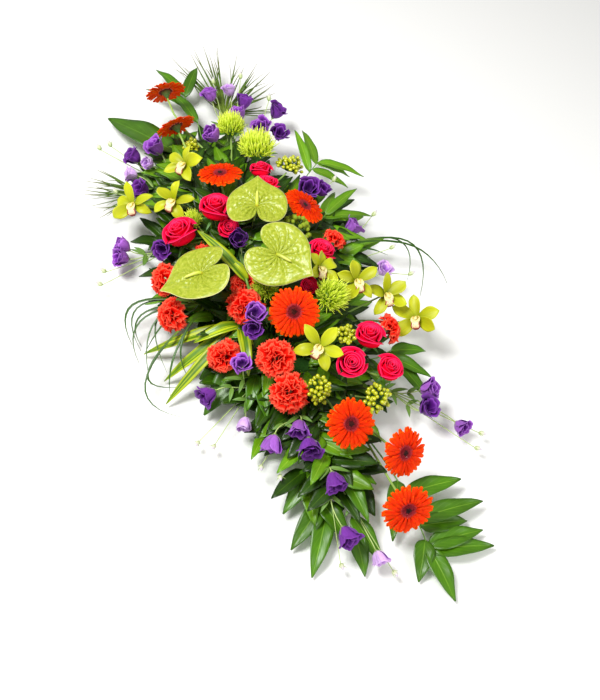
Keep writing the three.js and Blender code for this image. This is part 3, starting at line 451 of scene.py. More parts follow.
def gerbera_head(radius, seed):
    """A gerbera's rays, ring, disc florets and cup of bracts, facing +Z above the stem's end. A bract
    follows the cup's profile upwards and narrows to a point that bends out."""
    rounds = ((30, 1.0, 4.7, 0.6), (26, 0.92, 4.5, 3.6), (20, 0.64, 3.1, 5.4), (46, 0.36, 1.2, 3.6))
    *rays, ring = (gerbera_rays(radius, *sizes, seed + k) for k, sizes in enumerate(rounds))
    foot = seeds_on(170, 17.5, 20, 22.5)
    lean = foot * [0.16, 0.16, 0]
    tall = np.stack([foot - [0, 0, 3], foot + lean * 0.4 + [0, 0, 1.2], foot + lean + [0, 0, 2.8]], 1)
    heart = tubes(tall[:HEART_FLORETS], [0.9, 1.0, 0.6], 4, seed)
    disc = tubes(tall[HEART_FLORETS:], [0.85, 0.95, 0.45], 4, seed + 1)
    cup = [upright((-1, 4, 9, 13, 17, 19.5), (3, 4.2, 6.6, 8.6, 10, 10.6), 16)]
    along, side = grid(5, 3)
    wide = 1.8 * np.array([0.9, 1, 0.9, 0.6, 0.12])[None, :, None]
    for k, (start, end) in enumerate(((2, 12), (6, 17), (10, 21))):
        angles = round_of(20, k / 2, 0.04, np.random.default_rng(seed + k))
        height = start + (end - start) * along
        out = np.interp(height, [0, 4, 9, 13, 17, 21], [4, 4.8, 7.4, 9.4, 11, 12.6])
        out = out + 0.4 * k + 1.2 * along**3
        cup.append(thin(swept(out - 0.6 * side**2, wide * side, height, angles), 0.5, k))
    florets = {GERBERA_HEART: [heart], GERBERA_DISC: [disc], GERBERA_RING: [ring]}
    return {GERBERA_RAY: rays, **florets, GERBERA_BRACT: cup}


plant("gerbera_", GERBERAS, face=(0, 22), radius=3.2, head=gerbera_head, slot="gerbera", ending="bloom")

# Anthuriums
# Three green anthuriums: a waxy heart-shaped spathe about 150 mm across, quilted between its veins, with a
# pale rolled rim, and a creamy spadix of tightly packed florets that leans over it. The wax gives a sharp
# highlight.

ANTHURIUMS = {
    "head": [(20, 145, 230, 76, 10, 170, 155)],
    "centre": [(0, -10, 240, 83, 22, -155, 30)],
    "left": [(-170, 20, 205, 86, 26, 140, -95)],
}
SPATHE_VEINS = 14
BLISTER = 7
WAXY = {"Roughness": 0.36, "Specular_IOR_Level": 0.34, "Coat_Weight": 0.1, "Coat_Roughness": 0.16}


def spathe_finish():
    """A waxy lime spathe: pale veins fan out from its stem, a fine net lies between them, and its rim is
    pale. Along the tint goes round the heart, and across goes from its middle to its rim."""
    material, put = new_finish("waxy lime spathe", **WAXY)
    tint = put("Attribute", out="Vector", attribute_name="tint")
    turn, out, _ = put("SeparateXYZ", tint, out=slice(None))
    fanned = put("Mapping", tint, (60, 12, 0), **STRETCH)
    patch = put("TexNoise", fanned, 1, 3, 0.6, at=("Vector", "Scale", "Detail", "Distortion"))
    vein = put("Math", turn, SPATHE_VEINS * np.pi, operation="MULTIPLY")
    vein = put("Math", put("Math", vein, operation="SINE"), operation="ABSOLUTE")
    line = put("MapRange", vein, 0, put("MapRange", out, 0, 1, 0.16, 0.05), 0.6, 0)
    colour = put("ValToRGB", patch, stops={0.3: "#87981a", 0.5: "#9ca82a", 0.72: "#b4ba46"})
    colour = put("Mix", line, colour, "#c6cc5a", **MIX)
    colour = put("Mix", put("MapRange", out, 0.975, 0.995), colour, "#dcdc92", **MIX)
    place = put("TexCoord", out="Object")
    net = put("TexVoronoi", place, PER_METRE / BLISTER, feature="SMOOTH_F1", **STRETCH)
    return finished(material, colour, put("Bump", net, 0.5, 1.6 * MM, invert=True, **BUMP))


SPATHE = spathe_finish()
SPADIX_STOPS = {0: "#d8b62a", 0.2: "#b4c02e", 1: "#d4d868"}
SPADIX = petal_finish("packed spadix florets", SPADIX_STOPS, streaks=(18, 0.3), Roughness=0.45)


def anthurium_head(radius, seed):
    """A heart of two parameters, round and out. Its outline leaves the notch by an exponential, falls off
    with the square of how far round it is, and rises to a sharp point by a second exponential. Its veins
    are lines of constant round, which bend towards the point as they go out. It is dished, waved, raised in
    two lobes beside the notch, and swells between the veins like quilting."""
    turn = np.linspace(0, 1, 8 * SPATHE_VEINS + 1)[:, None]
    out = np.linspace(0.03, 1, 25)[None]
    round_it = turn - 0.1 * np.sin(2 * np.pi * turn) * out**1.2
    from_notch = np.minimum(round_it, 1 - round_it)
    outline = 0.2 + 0.78 * (1 - np.exp(-from_notch / 0.045)) - 0.64 * from_notch**2
    outline = outline + 0.36 * np.exp((from_notch - 0.5) / 0.04)
    angle = 2 * np.pi * (round_it + 0.25)
    quilt = np.abs(np.sin(SPATHE_VEINS * np.pi * turn)) ** 0.5 * np.sin(np.pi * out**0.8)
    pucker = 12 * np.pi * out + 2.4 * np.cos(2 * SPATHE_VEINS * np.pi * turn) + 3 * np.sin(31 * turn)
    pucker = np.sin(pucker) * out * (1 - out)
    waves = 2.8 * np.sin(3 * angle + seed) + 1.6 * np.sin(5 * angle - seed)
    lobes = 9 * np.exp(-(((from_notch - 0.07) / 0.06) ** 2)) * out**2
    dish = 2.6 + 6 * out**2 + waves * out**3 - 2.4 * np.clip(out - 0.93, 0, 1) / 0.07
    heart = around(radius * outline * out, angle, dish + lobes + 6 * quilt + 5 * pucker)
    line = bezier([[0, 1, 3], [0, -2, 12], [0, -16, 12], [0, -38, 13]], np.linspace(0, 1, 14))
    width = np.interp(np.linspace(0, 1, 14), [0, 0.1, 0.6, 0.9, 1], [3.2, 4.3, 4.1, 3, 1])
    return {SPATHE: [thin(heart, 1.1, seed)], SPADIX: [tubes(line, width, 12, seed)]}


plant(
    "anthurium_", ANTHURIUMS, face=(0, 5), radius=2.8, head=anthurium_head, slot="anthurium", ending="bloom"
)

# Roses
# Cerise roses, half open: seventeen velvety petals wrapped in a spiral, tight in the middle and rolled back
# at their rims further out, with five green sepals below. Velvet scatters light, so rims look paler: that
# paler rim is painted on as highlight, and the petals' dark feet deep in the goblet are painted shade.

ROSES = {
    "head": [(100, 290, 190, 30, 28, 80), (90, 230, 200, 34, 16, 75)],
    "left": [(-60, 200, 205, 42, 10, 85), (-165, 175, 180, 44, 30, 140), (-45, 150, 170, 28, 30, -90)],
    "right": [(140, 10, 185, 34, 12, 15), (60, -75, 180, 24, 20, -90)],
    "foot": [(140, -235, 175, 37, 10, 85), (55, -300, 190, 38, 20, -125), (155, -320, 150, 34, 10, -30)],
}
ROSE_PETALS = 17
# Painted shade and highlight: the petals darken towards their feet as painted shade deep in the flower, and
# the pale band along their rims is painted highlight.
ROSE_PETAL = petal_finish(
    "cerise rose petal",
    {0: "#60000a", 0.4: "#c00018", 0.8: "#f00034", 1: "#fa0a44"},
    rim=("#f23c74", 0.955),
    back=("#f00028", 0.6),
    streaks=(16, 0.1),
    **SATIN,
)
SEPAL = petal_finish("green sepal", {0: "#4f8030", 1: "#3c6a24"}, streaks=(8, 0.2), Roughness=0.55)


def pointed(count, radius, length, width, droop, seed):
    """Pointed sepals round a stem: each leaves the axis at the radius, is widest near its foot, and bends
    down by the droop towards its point."""
    along, side = grid(6, 3)
    angles = round_of(count, 0, 0.1, np.random.default_rng(seed))
    wide = width * np.sqrt(along + 0.12) * (1.02 - along) * 1.3
    up = -droop * length * along**2 + 0.25 * width * side**2
    return thin(swept(radius + length * along, wide * side, up, angles), 0.5, seed)


def rose_head(radius, seed):
    """Petals in a spiral, from the middle one, 0, to the outermost, 1, which together make a goblet. A
    petal's distance from the axis rises to its belly as a quarter sine, draws in again towards the top, and
    its rim rolls outwards, the more the further out it is. Its sides are lower than its middle."""
    draw = np.random.default_rng(seed)
    number = np.arange(ROSE_PETALS)
    order = each(number / (ROSE_PETALS - 1))
    up, side = grid(10, 9)
    belly = radius * (0.1 + 0.8 * order**1.3) * each(draw.uniform(0.94, 1.05, ROSE_PETALS))
    swell = np.sin(np.pi / 2 * np.minimum(1, up / 0.5)) ** 0.75
    closing = 1 - (0.42 - 0.24 * order) * np.clip((up - 0.5) / 0.5, 0, 1) ** 1.4
    roll = np.clip((up - 0.8) / 0.2, 0, 1) ** 1.5 * (0.25 + order**1.2)
    out = belly * swell * closing + 0.19 * radius * roll * (1 + 0.5 * np.abs(side))
    out = out + 0.05 * radius * side * order
    span = np.radians(150 - 84 * order**0.7)
    height = radius * (0.1 + (1.36 - 0.3 * order**1.5) * up - 0.34 * np.abs(side) ** 2.6 * up**2)
    height = height - 0.1 * radius * roll**2 + 0.025 * radius * np.sin(5 * side + 7 * order) * up * order
    bearing = each(GOLDEN_TURN * number + draw.normal(0, 0.35, ROSE_PETALS))
    petals = around(out, bearing + span * side * (0.45 + 0.55 * np.sqrt(up + 0.02)), height)
    hip = upright((-0.1, 0.05, 0.18, 0.3), (0.1, 0.22, 0.3, 0.2), 8, radius)
    sepals = pointed(5, 0.2 * radius, 0.75 * radius, 0.16 * radius, 0.5, seed)
    return {ROSE_PETAL: [thin(petals, 0.6, seed)], SEPAL: [hip, sepals]}


plant("roses_", ROSES, face=(1.1, 0), radius=3, head=rose_head, slot="rose")

# Carnations
# Coral-red carnations: thirty ruffled petals with saw-toothed rims, crowded in a dome above a slim
# grey-green calyx. The petals are thin and matt, and their rims catch the light as salmon lines, which are
# painted on as highlight; the petals darken towards their feet as painted shade deep in the dome.

CARNATIONS = {
    "left": [(-240, 95, 120, 41, 55, 175), (-255, 5, 100, 40, 60, 185), (-130, 120, 150, 28, 30, 170)],
    "centre": [(-105, -80, 190, 43, 22, 220), (-190, -160, 130, 40, 45, 215), (-75, 5, 150, 30, 30, 190)],
    "foot": [(-95, -230, 190, 45, 22, 240), (-95, -310, 160, 44, 36, 245)],
    "right": [(210, 60, 150, 30, 40, 20), (230, -215, 130, 37, 60, -10)],
}
CARNATION_PETALS, TOOTH_POINTS = 30, 17
# Painted shade and highlight: the stops run from dark red at a petal's foot, painted shade, to salmon at its
# rim, painted highlight.
CARNATION_PETAL = petal_finish(
    "coral carnation petal",
    {0: "#900200", 0.5: "#dc0c04", 0.82: "#f42210", 1: "#ff684c"},
    back=("#e80e02", 0.6),
    streaks=(40, 0.18),
    Roughness=0.75,
    Specular_IOR_Level=0.05,
)
CARNATION_STEM = petal_finish("waxy grey-green stem", {0: "#7fa06a", 1: "#9ab884"}, Roughness=0.6)


def carnation_head(radius, seed):
    """Fans round the axis, the outermost level and the innermost upright. A fan goes from the calyx to its
    rim on a dome along a Bezier curve, widens with the root of that way, and is thrown into ruffles, a sine
    across it that grows towards the rim, where every second point is drawn back as a tooth."""
    draw = np.random.default_rng(seed)
    count = CARNATION_PETALS
    rise = each(np.radians(np.linspace(-12, 84, count) + draw.normal(0, 9, count)))
    along = np.linspace(0.08, 1, 6)[None, :, None]
    side = np.linspace(-1, 1, TOOTH_POINTS)[None, None]
    share = along * (1 - (np.arange(TOOTH_POINTS) % 2) * 0.07 * along**6) * (1 - 0.1 * side**2)
    size = radius * each(draw.uniform(0.76, 1.12, count))
    rim_out, rim_up = 0.93 * size * np.cos(rise), 0.34 * radius + 0.84 * size * np.sin(rise)
    out = 2 * share * (1 - share) * 0.42 * rim_out + share**2 * rim_out + 0.05 * radius
    up = (1 - share) ** 2 * 0.4 * radius + 2 * share * (1 - share) * 0.8 * radius + share**2 * rim_up
    phase, waves = (each(draw.uniform(*ends, count)) for ends in ((0, 6.28), (4, 8)))
    ruffle = radius * (0.19 * np.sin(waves * side + phase) + 0.05 * np.sin(17 * side + phase)) * share**2
    out, up = out - ruffle * np.sin(rise), up + ruffle * np.cos(rise)
    aside = radius * 0.66 * side * share**0.7 * (0.75 + 0.25 * np.cos(rise))
    fans = swept(out, aside, up, GOLDEN_TURN * np.arange(count) + draw.normal(0, 0.3, count))
    calyx = upright((-0.1, 0, 0.2, 0.45, 0.6), (0.1, 0.18, 0.24, 0.24, 0.14), 8, radius)
    return {CARNATION_PETAL: [thin(fans, 0.45, seed)], CARNATION_STEM: [calyx]}


plant(
    "carnations_",
    CARNATIONS,
    face=(1, 0),
    radius=2.6,
    head=carnation_head,
    slot="carnation",
    stem_finish=CARNATION_STEM,
)

# Cymbidium orchids
# Single lime-green cymbidiums, about 100 mm across: five thick tepals round a cream lip with two side lobes
# and a recurved front one edged and speckled in dark red, under a yellow column. The tepals are waxy and
# veined.

CYMBIDIUMS = {
    "cymbidiums_left": [
        (-70, 365, 170, 50, 40, 190, -55),
        (-135, 270, 160, 50, 36, 200, -55),
        (-215, 330, 110, 50, 40, 200, -25),
    ],
    "cymbidiums_right": [
        (100, -45, 190, 46, 30, -60, -15),
        (175, -100, 180, 50, 30, -110, -15),
        (245, -135, 140, 52, 36, -100, -10),
        (300, -205, 110, 60, 34, -176, -30),
    ],
    "cymbidium_foot": [(0, -245, 200, 54, 30, -120, -60)],
}
TEPAL_BEARINGS = (90, 24, 156, -42, -138)
TEPAL_SHARES = (0, 0.1, 0.3, 0.5, 0.68, 0.82, 0.93, 1)
TEPAL_WIDTHS = (0.34, 0.5, 0.86, 1, 0.92, 0.66, 0.3, 0.04)
LIP_SPECK = 2.6
# Painted shade and highlight: the tepals darken towards the column as painted shade, and their pale rim is
# painted highlight.
TEPAL = petal_finish(
    "lime cymbidium tepal",
    {0: "#7e8c08", 0.3: "#a4aa10", 0.8: "#bcc01e", 1: "#b4c224"},
    rim=("#d4d642", 0.95),
    back=("#98a612", 0.6),
    streaks=(14, 0.16),
    Roughness=0.42,
    Specular_IOR_Level=0.2,
    Coat_Weight=0.04,
    Coat_Roughness=0.3,
)
COLUMN = petal_finish("yellow orchid column", {0: "#d8cc3a", 1: "#f2e6a0"}, streaks=(6, 0.1), Roughness=0.4)


def lip_finish():
    """A cream lip, flushed yellow at its heart, with a dark-red band inside the rim of its front lobe and
    specks on the side lobes. Along the tint is from its heart to its front."""
    material, put = new_finish("cream orchid lip", Roughness=0.5)
    _, along, aside, _ = tints(put)
    speck = put("TexVoronoi", put("TexCoord", out="Object"), PER_METRE / LIP_SPECK, **STRETCH)
    front = put("MapRange", along, 0.86, 0.93)
    band = put("Math", put("MapRange", aside, 0.68, 0.84), front, operation="MAXIMUM")
    fore = put("ValToRGB", along, stops={0.5: "#000000", 0.62: "#ffffff"})
    band = put("Math", band, fore, operation="MULTIPLY")
    mark = put("Math", band, put("MapRange", speck, 0.32, 0.24), operation="MAXIMUM")
    base = put("ValToRGB", along, stops={0: "#d9c23a", 0.35: "#f0e6a0", 0.7: "#f2dfae", 1: "#f0cf9c"})
    return finished(material, put("Mix", mark, base, "#96201c", **MIX))


ORCHID_LIP = lip_finish()


def cymbidium_head(radius, seed):
    """One tepal up, two beside it and two further down. A tepal has a pointed profile, widest half way, is
    hollow along its middle, arched forward, and its margins wave by a sine along it. The lip is a gutter
    along a curve, pinched in the middle, whose sides stand up near the heart."""
    draw = np.random.default_rng(seed)
    angles = np.radians(TEPAL_BEARINGS) + draw.normal(0, 0.1, 5)
    along, side = grid(13, 9)
    wide = 0.28 * radius * np.interp(along, TEPAL_SHARES, TEPAL_WIDTHS) * each(draw.uniform(0.82, 1.12, 5))
    cup, curl, phase = (each(draw.uniform(*ends, 5)) for ends in ((0.6, 2.1), (-20, 14), (0, 6)))
    out = 2 + (radius * each(draw.uniform(1.02, 1.16, 5)) - 2) * along - 0.05 * radius * along**4
    up = 7 + cup * 9 * np.sin(np.pi * along * 0.72) + curl * along**3 + 4.2 * side**2 * np.sin(np.pi * along)
    up = up + each(draw.normal(0, 0.45, 5)) * wide * side + 2.4 * np.sin(8 * along + phase) * side**3 * along
    tepals = thin(swept(out, wide * side, up, angles), 1.0, seed)
    line = bezier([[0, 0, 6], [0, -3, 19], [0, -19, 31], [0, -30, 14]], np.linspace(0, 1, 10))[:, None]
    share, side = (values[0] for values in grid(10, 9))
    half = np.interp(share, [0, 0.2, 0.42, 0.58, 0.8, 0.93, 1], [4, 10, 12, 9, 12, 10, 4.5])
    front = np.clip(share - 0.6, 0, 1)
    gutter = 10 * side**2 * np.clip(1 - share / 0.62, 0, 1) + 1.2 * np.sin(11 * side) * front
    lip = thin(line + sheet(half * side, 0.5 * gutter, gutter), 0.8, seed)
    stalk = bezier([[0, 4, 6], [0, 3, 16], [0, -7, 24]], np.linspace(0, 1, 7))
    column = tubes(stalk, (3.2, 3, 3, 3.2, 3.6, 3.8, 2), 8)
    return {TEPAL: [tepals, upright((-2, 3, 8), (2.4, 3.4, 3), 8)], ORCHID_LIP: [lip], COLUMN: [column]}


plant("", CYMBIDIUMS, face=(0, 8), radius=2.6, head=cymbidium_head, slot="cymbidium")

# Chrysanthemums
# Lime spider chrysanthemums: three to five hundred thin quills that spring from one small core and curl in
# at their tips. They are matt and paler towards the tip, and the dark green at their feet, deep between them,
# is painted shade.

CHRYSANTHEMUMS = {
    "chrysanthemum_centre": [(95, -125, 195, 41, 20, -60)],
    "chrysanthemums_head": [(135, 385, 160, 48, 30, 80), (105, 480, 150, 38, 28, 80)],
    "chrysanthemums_left": [(-110, 215, 150, 25, 20, 170), (-35, -40, 170, 32, 20, -150)],
}
# Painted shade: the quills are dark green at their feet, for the shade deep between them.
QUILL_STOPS = {0: "#4c7a06", 0.3: "#9cc00e", 0.8: "#cfe428", 1: "#e4f058"}
QUILL = petal_finish("lime chrysanthemum quill", QUILL_STOPS, streaks=(4, 0.1), Roughness=0.6)


def dome_ways(count, top, low, jitter, draw):
    """Directions in a golden spiral over a dome, whose heights go from top to low in even steps."""
    level = np.linspace(top, low, count)
    ways = around(np.sqrt(1 - level**2), GOLDEN_TURN * np.arange(count), level)
    return unit(ways + draw.normal(0, jitter, (count, 3)))


def chrysanthemum_head(radius, seed):
    """Quills in a golden spiral over a dome, from its top down to a little below level. A quill starts in
    the core, goes outwards along its own direction, and its tip bends up towards the axis."""
    draw = np.random.default_rng(seed)
    count = int(150 + 7 * radius)
    way = dome_ways(count, 0.99, -0.28, 0.05, draw)[:, None]
    flat = each(np.sqrt(1 - np.linspace(0.99, -0.28, count) ** 2))
    along = np.linspace(0, 1, 5)[None, :, None]
    length = radius * (0.74 + 0.36 * flat) * each(draw.uniform(0.9, 1.08, count))
    paths = np.array([0, 0, 0.42 * radius]) + way * length * (0.15 + 0.85 * along)
    curl = each(draw.uniform(0.14, 0.5, count)) * length * along**3
    paths = paths + draw.normal(0, 0.09, (count, 1, 3)) * length * along**2
    paths = paths + curl * np.array([0, 0, 1]) - curl * 0.6 * way * [1, 1, 0]
    quills = tubes(paths, radius * 0.024 * np.array([0.9, 1.05, 1.1, 1.05, 0.5]), 4, seed)
    heart = upright((-0.05, 0.1, 0.3, 0.55, 0.75, 0.85), (0.12, 0.4, 0.52, 0.5, 0.34, 0.1), 10, radius)
    return {QUILL: [quills], SEPAL: [heart]}


plant("", CHRYSANTHEMUMS, face=(0.8, 0), radius=3, head=chrysanthemum_head, slot="chrysanthemum")

# Berries
# Heads of hypericum with glossy oval lime berries on short stalks, each with a ruff of little sepals, and
# one head of brunia, whose dull balls of 12 mm are dimpled all over.

BERRIES = {
    "right": [(108, 88, 195, 38, 24, 30), (95, -215, 165, 26, 20, -20)],
    "head": [(210, 325, 140, 38, 40, 40), (0, 490, 100, 23, 20, 90)],
    "foot": [(-30, -320, 160, 34, 24, -120), (95, -380, 140, 34, 34, -80)],
}
BRUNIA_RADIUS, BRUNIA_DIMPLE = 38, 1.4
BERRY_STOPS = {0: "#7c8c0a", 0.5: "#aeb612", 1: "#cccc2a"}
HYPERICUM = petal_finish(
    "glossy hypericum berry", BERRY_STOPS, streaks=(3, 0.1), Roughness=0.22, Coat_Weight=0.4
)
BRUNIA = grained(
    "dimpled brunia ball", "#5e7a12", "#a8b832", BRUNIA_DIMPLE, 0.8, Roughness=0.8, Specular_IOR_Level=0.2
)


def balls_on(radius, count, girth, length, spread, seed):
    """Balls on a dome, one every golden turn, each on a stalk from the dome's heart. A ball is a tube whose
    radius is a half circle along it. Gives the balls, the stalks, and each ball's foot and direction."""
    draw = np.random.default_rng(seed)
    way = dome_ways(count, 0.98, -0.1, 0.09, draw)
    middle = np.array([0, 0, 0.34 * radius])
    centre = middle + way * radius * (0.98 - spread * draw.random((count, 1)))
    grow = draw.uniform(0.85, 1.1, (count, 1))
    steps = np.cos(np.linspace(np.pi, 0, 8))
    paths = centre[:, None] + way[:, None] * (length * grow * steps)[..., None]
    balls = tubes(paths, girth * grow * np.maximum(np.sqrt(1 - steps**2), 0.12), 8, seed)
    legs = np.linspace(0, 1, 4)[None, :, None]
    stalks = tubes(middle * 0.4 + (centre[:, None] - middle * 0.4) * legs, 0.9, 4, seed)
    return balls, stalks, centre - way * length * 0.9, way


def hypericum_head(radius, seed):
    """Loose oval berries, every second one with its ruff of five sepals."""
    balls, stalks, feet, ways = balls_on(radius, int(16 + 0.8 * radius), 5.0, 5.9, 0.42, seed)
    along, side = grid(4, 3)
    angles = round_of(5, 0, 0.1, np.random.default_rng(seed))
    ruff = swept(1.5 + 4.5 * along, 1.9 * side * (1.05 - along), 2.2 * along**2, angles)
    parts = {HYPERICUM: [balls], SEPAL: [stalks]}
    for k, (foot, way) in enumerate(zip(feet[::2], ways[::2])):
        across = unit(np.cross(way, [0.3, 1, 0.2]))
        stand(parts, {SEPAL: [thin(ruff, 0.4, k)]}, foot, np.stack([across, np.cross(way, across), way]))
    return parts


def right_head(radius, seed):
    """The wider head on the right is the brunia: round balls packed close together."""
    if radius != BRUNIA_RADIUS:
        return hypericum_head(radius, seed)
    balls, stalks, _, _ = balls_on(radius, 30, 6.2, 6.2, 0.14, seed)
    return {BRUNIA: [balls], SEPAL: [stalks]}


for where, blooms in BERRIES.items():
    head = right_head if where == "right" else hypericum_head
    plant("berries_", {where: blooms}, face=(0.9, 0), radius=2.4, head=head, slot="berries")

# Lisianthus
# Twelve sprays of violet lisianthus: thin pale stems that fork into nodding bells of nine satin petals,
# which overlap like a rosette and have ruffled rims, and into pointed buds with long narrow sepals.

# Each spray has its bells, with the numbers of a bloom, and then the places of its buds.
LISIANTHUS = {
    "head": (
        [(47, 475, 140, 20, 35, 155), (120, 655, 100, 18, 40, 105), (175, 645, 110, 16, 30, 95),
         (200, 595, 110, 19, 25, 55)],
        [(150, 690, 90), (215, 660, 120)],
    ),
    "head_right": (
        [(155, 545, 120, 18, 28, 115), (285, 550, 90, 20, 30, 5), (190, 470, 130, 21, 18, -175),
         (240, 450, 110, 18, 16, -85)],
        [(255, 560, 120)],
    ),
    "head_left": (
        [(-100, 495, 120, 21, 40, 140), (-160, 495, 100, 18, 55, 145), (-135, 450, 110, 14, 45, 178)],
        [(-190, 560, 75), (-215, 570, 60)],
    ),
    "left_head": ([(-185, 445, 90, 15, 75, 160), (-180, 380, 105, 18, 48, 165)], [(-230, 400, 80)]),
    "left": (
        [(-275, 255, 70, 18, 55, 145), (-290, 225, 60, 18, 65, 170), (-205, 165, 130, 18, 55, -145)],
        [(-330, 200, 50), (-350, 170, 45)],
    ),
    "centre": (
        [(-50, 85, 205, 21, 28, -135), (-105, -130, 225, 19, 16, -85), (-120, -155, 205, 18, 60, -140)],
        [],
    ),
    "right": ([(220, 235, 130, 22, 15, -125), (260, 230, 120, 18, 24, -30)], [(300, 250, 110)]),
    "right_low": (
        [(300, 115, 90, 20, 50, 10), (310, -35, 90, 16, 20, -20)],
        [(365, 135, 80), (355, 20, 85), (370, -60, 70)],
    ),
    "foot_left": (
        [(-160, -200, 150, 17, 14, -160), (-245, -210, 70, 19, 90, -165), (-190, -305, 60, 16, 98, -120)],
        [(-290, -290, 30), (-260, -310, 30)],
    ),
    "foot": (
        [(-165, -385, 90, 20, 105, -128), (-100, -380, 110, 19, 92, -126), (-95, -430, 110, 21, 85, -110)],
        [(-165, -440, 60), (-190, -400, 50)],
    ),
    "foot_tip": (
        [(-75, -520, 100, 21, 92, -98), (-90, -630, 70, 21, 82, -86), (-40, -690, 40, 16, 95, -90)],
        [(-120, -660, 30), (-20, -715, 25)],
    ),
    "foot_right": (
        [(250, -380, 90, 20, 48, -35), (220, -420, 90, 20, 25, -50), (295, -480, 40, 17, 70, -80)],
        [(330, -500, 30), (300, -530, 30)],
    ),
}
FORK_AT = 0.6
FORK_DROPS = (10, 30, -10, 45)
FORK_LOWEST = 18
STEM_LEAF_LENGTH, STEM_LEAF_WIDTH, STEM_LEAF_ARCH = 40, 10, 7
LEAF_TIP_LOWEST = 6
BUD_RADIUS, BUD_LEAN = 4, 55
LILAC_UNDER, DEEP_SHARE = 16.5, 0.45
UP, LEVEL = np.array([0.0, 0, 1]), np.array([1, 1, 0])
BELL_HEIGHTS = (0, 0.12, 0.35, 0.65, 0.88, 1)
SATIN_VIOLET = {"Roughness": 0.5, "Sheen_Weight": 0.06, "Specular_IOR_Level": 0.16}
# Painted highlight: each petal's rim band is mixed with the pale back colour, as painted highlight along its
# edges; on the under side the same pale colour is the petal's own paler outer face.
BELL_FINISHES = [
    petal_finish(
        f"{name} lisianthus petal",
        {0: "#b9c48c", 0.12: foot, 0.45: body, 1: rim},
        rim=(back, 0.9),
        back=(back, 0.7),
        streaks=(9, 0.42),
        spread=0.4,
        **SATIN_VIOLET,
    )
    for name, foot, body, rim, back in (
        ("violet", "#a468c0", "#5e1a86", "#742c98", "#a666c6"),
        ("deep violet", "#7c3c9c", "#420a64", "#4c106c", "#7c3aa2"),
        ("lilac", "#dcc2e4", "#a466c8", "#bc8cd4", "#d8b6e6"),
    )
]
PALE_STEM = petal_finish("pale lisianthus stem", {0: "#8fae54", 1: "#b4c97a"}, Roughness=0.5)
NARROW_LEAF = petal_finish(
    "narrow lisianthus leaf", {0: "#6a8e34", 1: "#56802a"}, streaks=(8, 0.2), Roughness=0.5
)
BUD_GREEN = petal_finish(
    "greenish lisianthus bud", {0: "#9cb860", 0.5: "#cfd8a8", 1: "#c9b4dc"}, Roughness=0.5
)


def sepals_up(radius, length, width, seed):
    """Narrow sepals that hug a bell or bud: each rises from the radius, leans out, and ends in a point."""
    draw = np.random.default_rng(seed)
    along, side = grid(5, 3)
    angles = round_of(5, 0.5, 0.15, draw)
    out = radius + each(draw.uniform(0.35, 0.75, 5)) * length * along
    return thin(swept(out, width * (1.05 - along) * side, length * 0.85 * along, angles), 0.4, seed)


def bell_head(radius, seed):
    """Two whorls of petals round a bell, five outside and four inside, which close it like a rosette. A
    petal's distance from the axis grows with its height, fast at the foot and again at the rim, where it is
    ruffled by a sine across it. Across itself it turns from inside its neighbour to outside the next, so
    they overlap."""
    draw = np.random.default_rng(seed)
    along, side = grid(8, 11)
    profile = np.interp(along, BELL_HEIGHTS, [0.14, 0.44, 0.76, 0.92, 0.98, 1.04 + draw.uniform(-0.1, 0.34)])
    whorls = []
    for count, size, span in ((5, 1.0, 56), (4, 0.62, 66)):
        angles = each(round_of(count, draw.random(), 0.12, draw))
        phase = 9 * angles
        ruffle = 0.09 * np.sin(4 * side + phase) + 0.03 * np.sin(11 * side + 2 * phase)
        out = size * radius * profile * (1 + 0.17 * side) + radius * ruffle * along**3
        tall = each(draw.uniform(1.78, 2.1, count)) - 0.1 * (1 - size)
        wave = 0.06 * np.sin(7 * side + phase) * along**4
        up = radius * (0.05 + tall * along - 0.34 * side**2 * along**2 + wave)
        bearing = angles + np.radians(span) * side * (0.55 + 0.45 * np.sin(np.pi * np.minimum(along, 0.75)))
        whorls.append(thin(around(out, bearing, up), 0.5, seed))
    finish = BELL_FINISHES[2 if radius < LILAC_UNDER else int(draw.random() < DEEP_SHARE)]
    foot = upright((-0.15, 0, 0.15), (0.08, 0.2, 0.16), 6, radius)
    return {finish: whorls, PALE_STEM: [foot, sepals_up(0.2 * radius, 1.1 * radius, 0.07 * radius, seed)]}


def bud_head(radius, seed):
    """A closed bud: a spindle with a long pointed tip, widest at a quarter of its height, in its sepals."""
    body = upright((-0.2, 0.3, 1, 2, 3.2, 4.3, 5), (0.5, 1.1, 1.35, 1.3, 0.95, 0.5, 0.1), 8, radius)
    return {BUD_GREEN: [body], PALE_STEM: [sepals_up(0.5 * radius, 3.4 * radius, 0.3 * radius, seed)]}


def leaf_width(kind, share):
    """How wide a leaf is at each share of its length, as a share of its full width: straight lines between a
    few widths for straps and blades, and for broad leaves a half sine that is widest before the middle."""
    if kind == "strap":
        return np.interp(share, [0, 0.15, 0.4, 0.75, 0.92, 1], [0.42, 0.8, 1, 0.74, 0.36, 0.05])
    if kind == "blade":
        return np.interp(share, [0, 0.1, 0.6, 1], [0.6, 1, 0.85, 0.06])
    return np.maximum(np.sin(np.pi * share ** (0.9 if kind == "aspidistra" else 0.68)) ** 0.8, 0.05)


def leaf_on(curve, width, kind, fold, wave, phase, rows=13, columns=7):
    """A leaf on a Bezier curve of three points. It goes sideways by its width, folded up along its rib by a
    share of that width, with a low wave along both margins."""
    share = np.linspace(0, 1, rows)
    line = bezier(curve, share)
    ahead = unit(np.gradient(line, axis=0))
    aside = unit(np.cross(UP, ahead) + [1e-6, 0, 0])
    half = each(width / 2 * leaf_width(kind, share))
    side = np.linspace(-1, 1, columns)[None, :, None]
    lift = half * fold * (np.abs(side) - 0.5) + wave * width * each(np.sin(14 * share + phase)) * side**2
    return line[:, None] + aside[:, None] * half * side + np.cross(ahead, aside)[:, None] * lift


def turned(way, angle):
    """A direction turned about the vertical: its x and y are mixed by the angle's cosine and sine."""
    x, y, z = way
    return np.array([x * np.cos(angle) - y * np.sin(angle), x * np.sin(angle) + y * np.cos(angle), z])


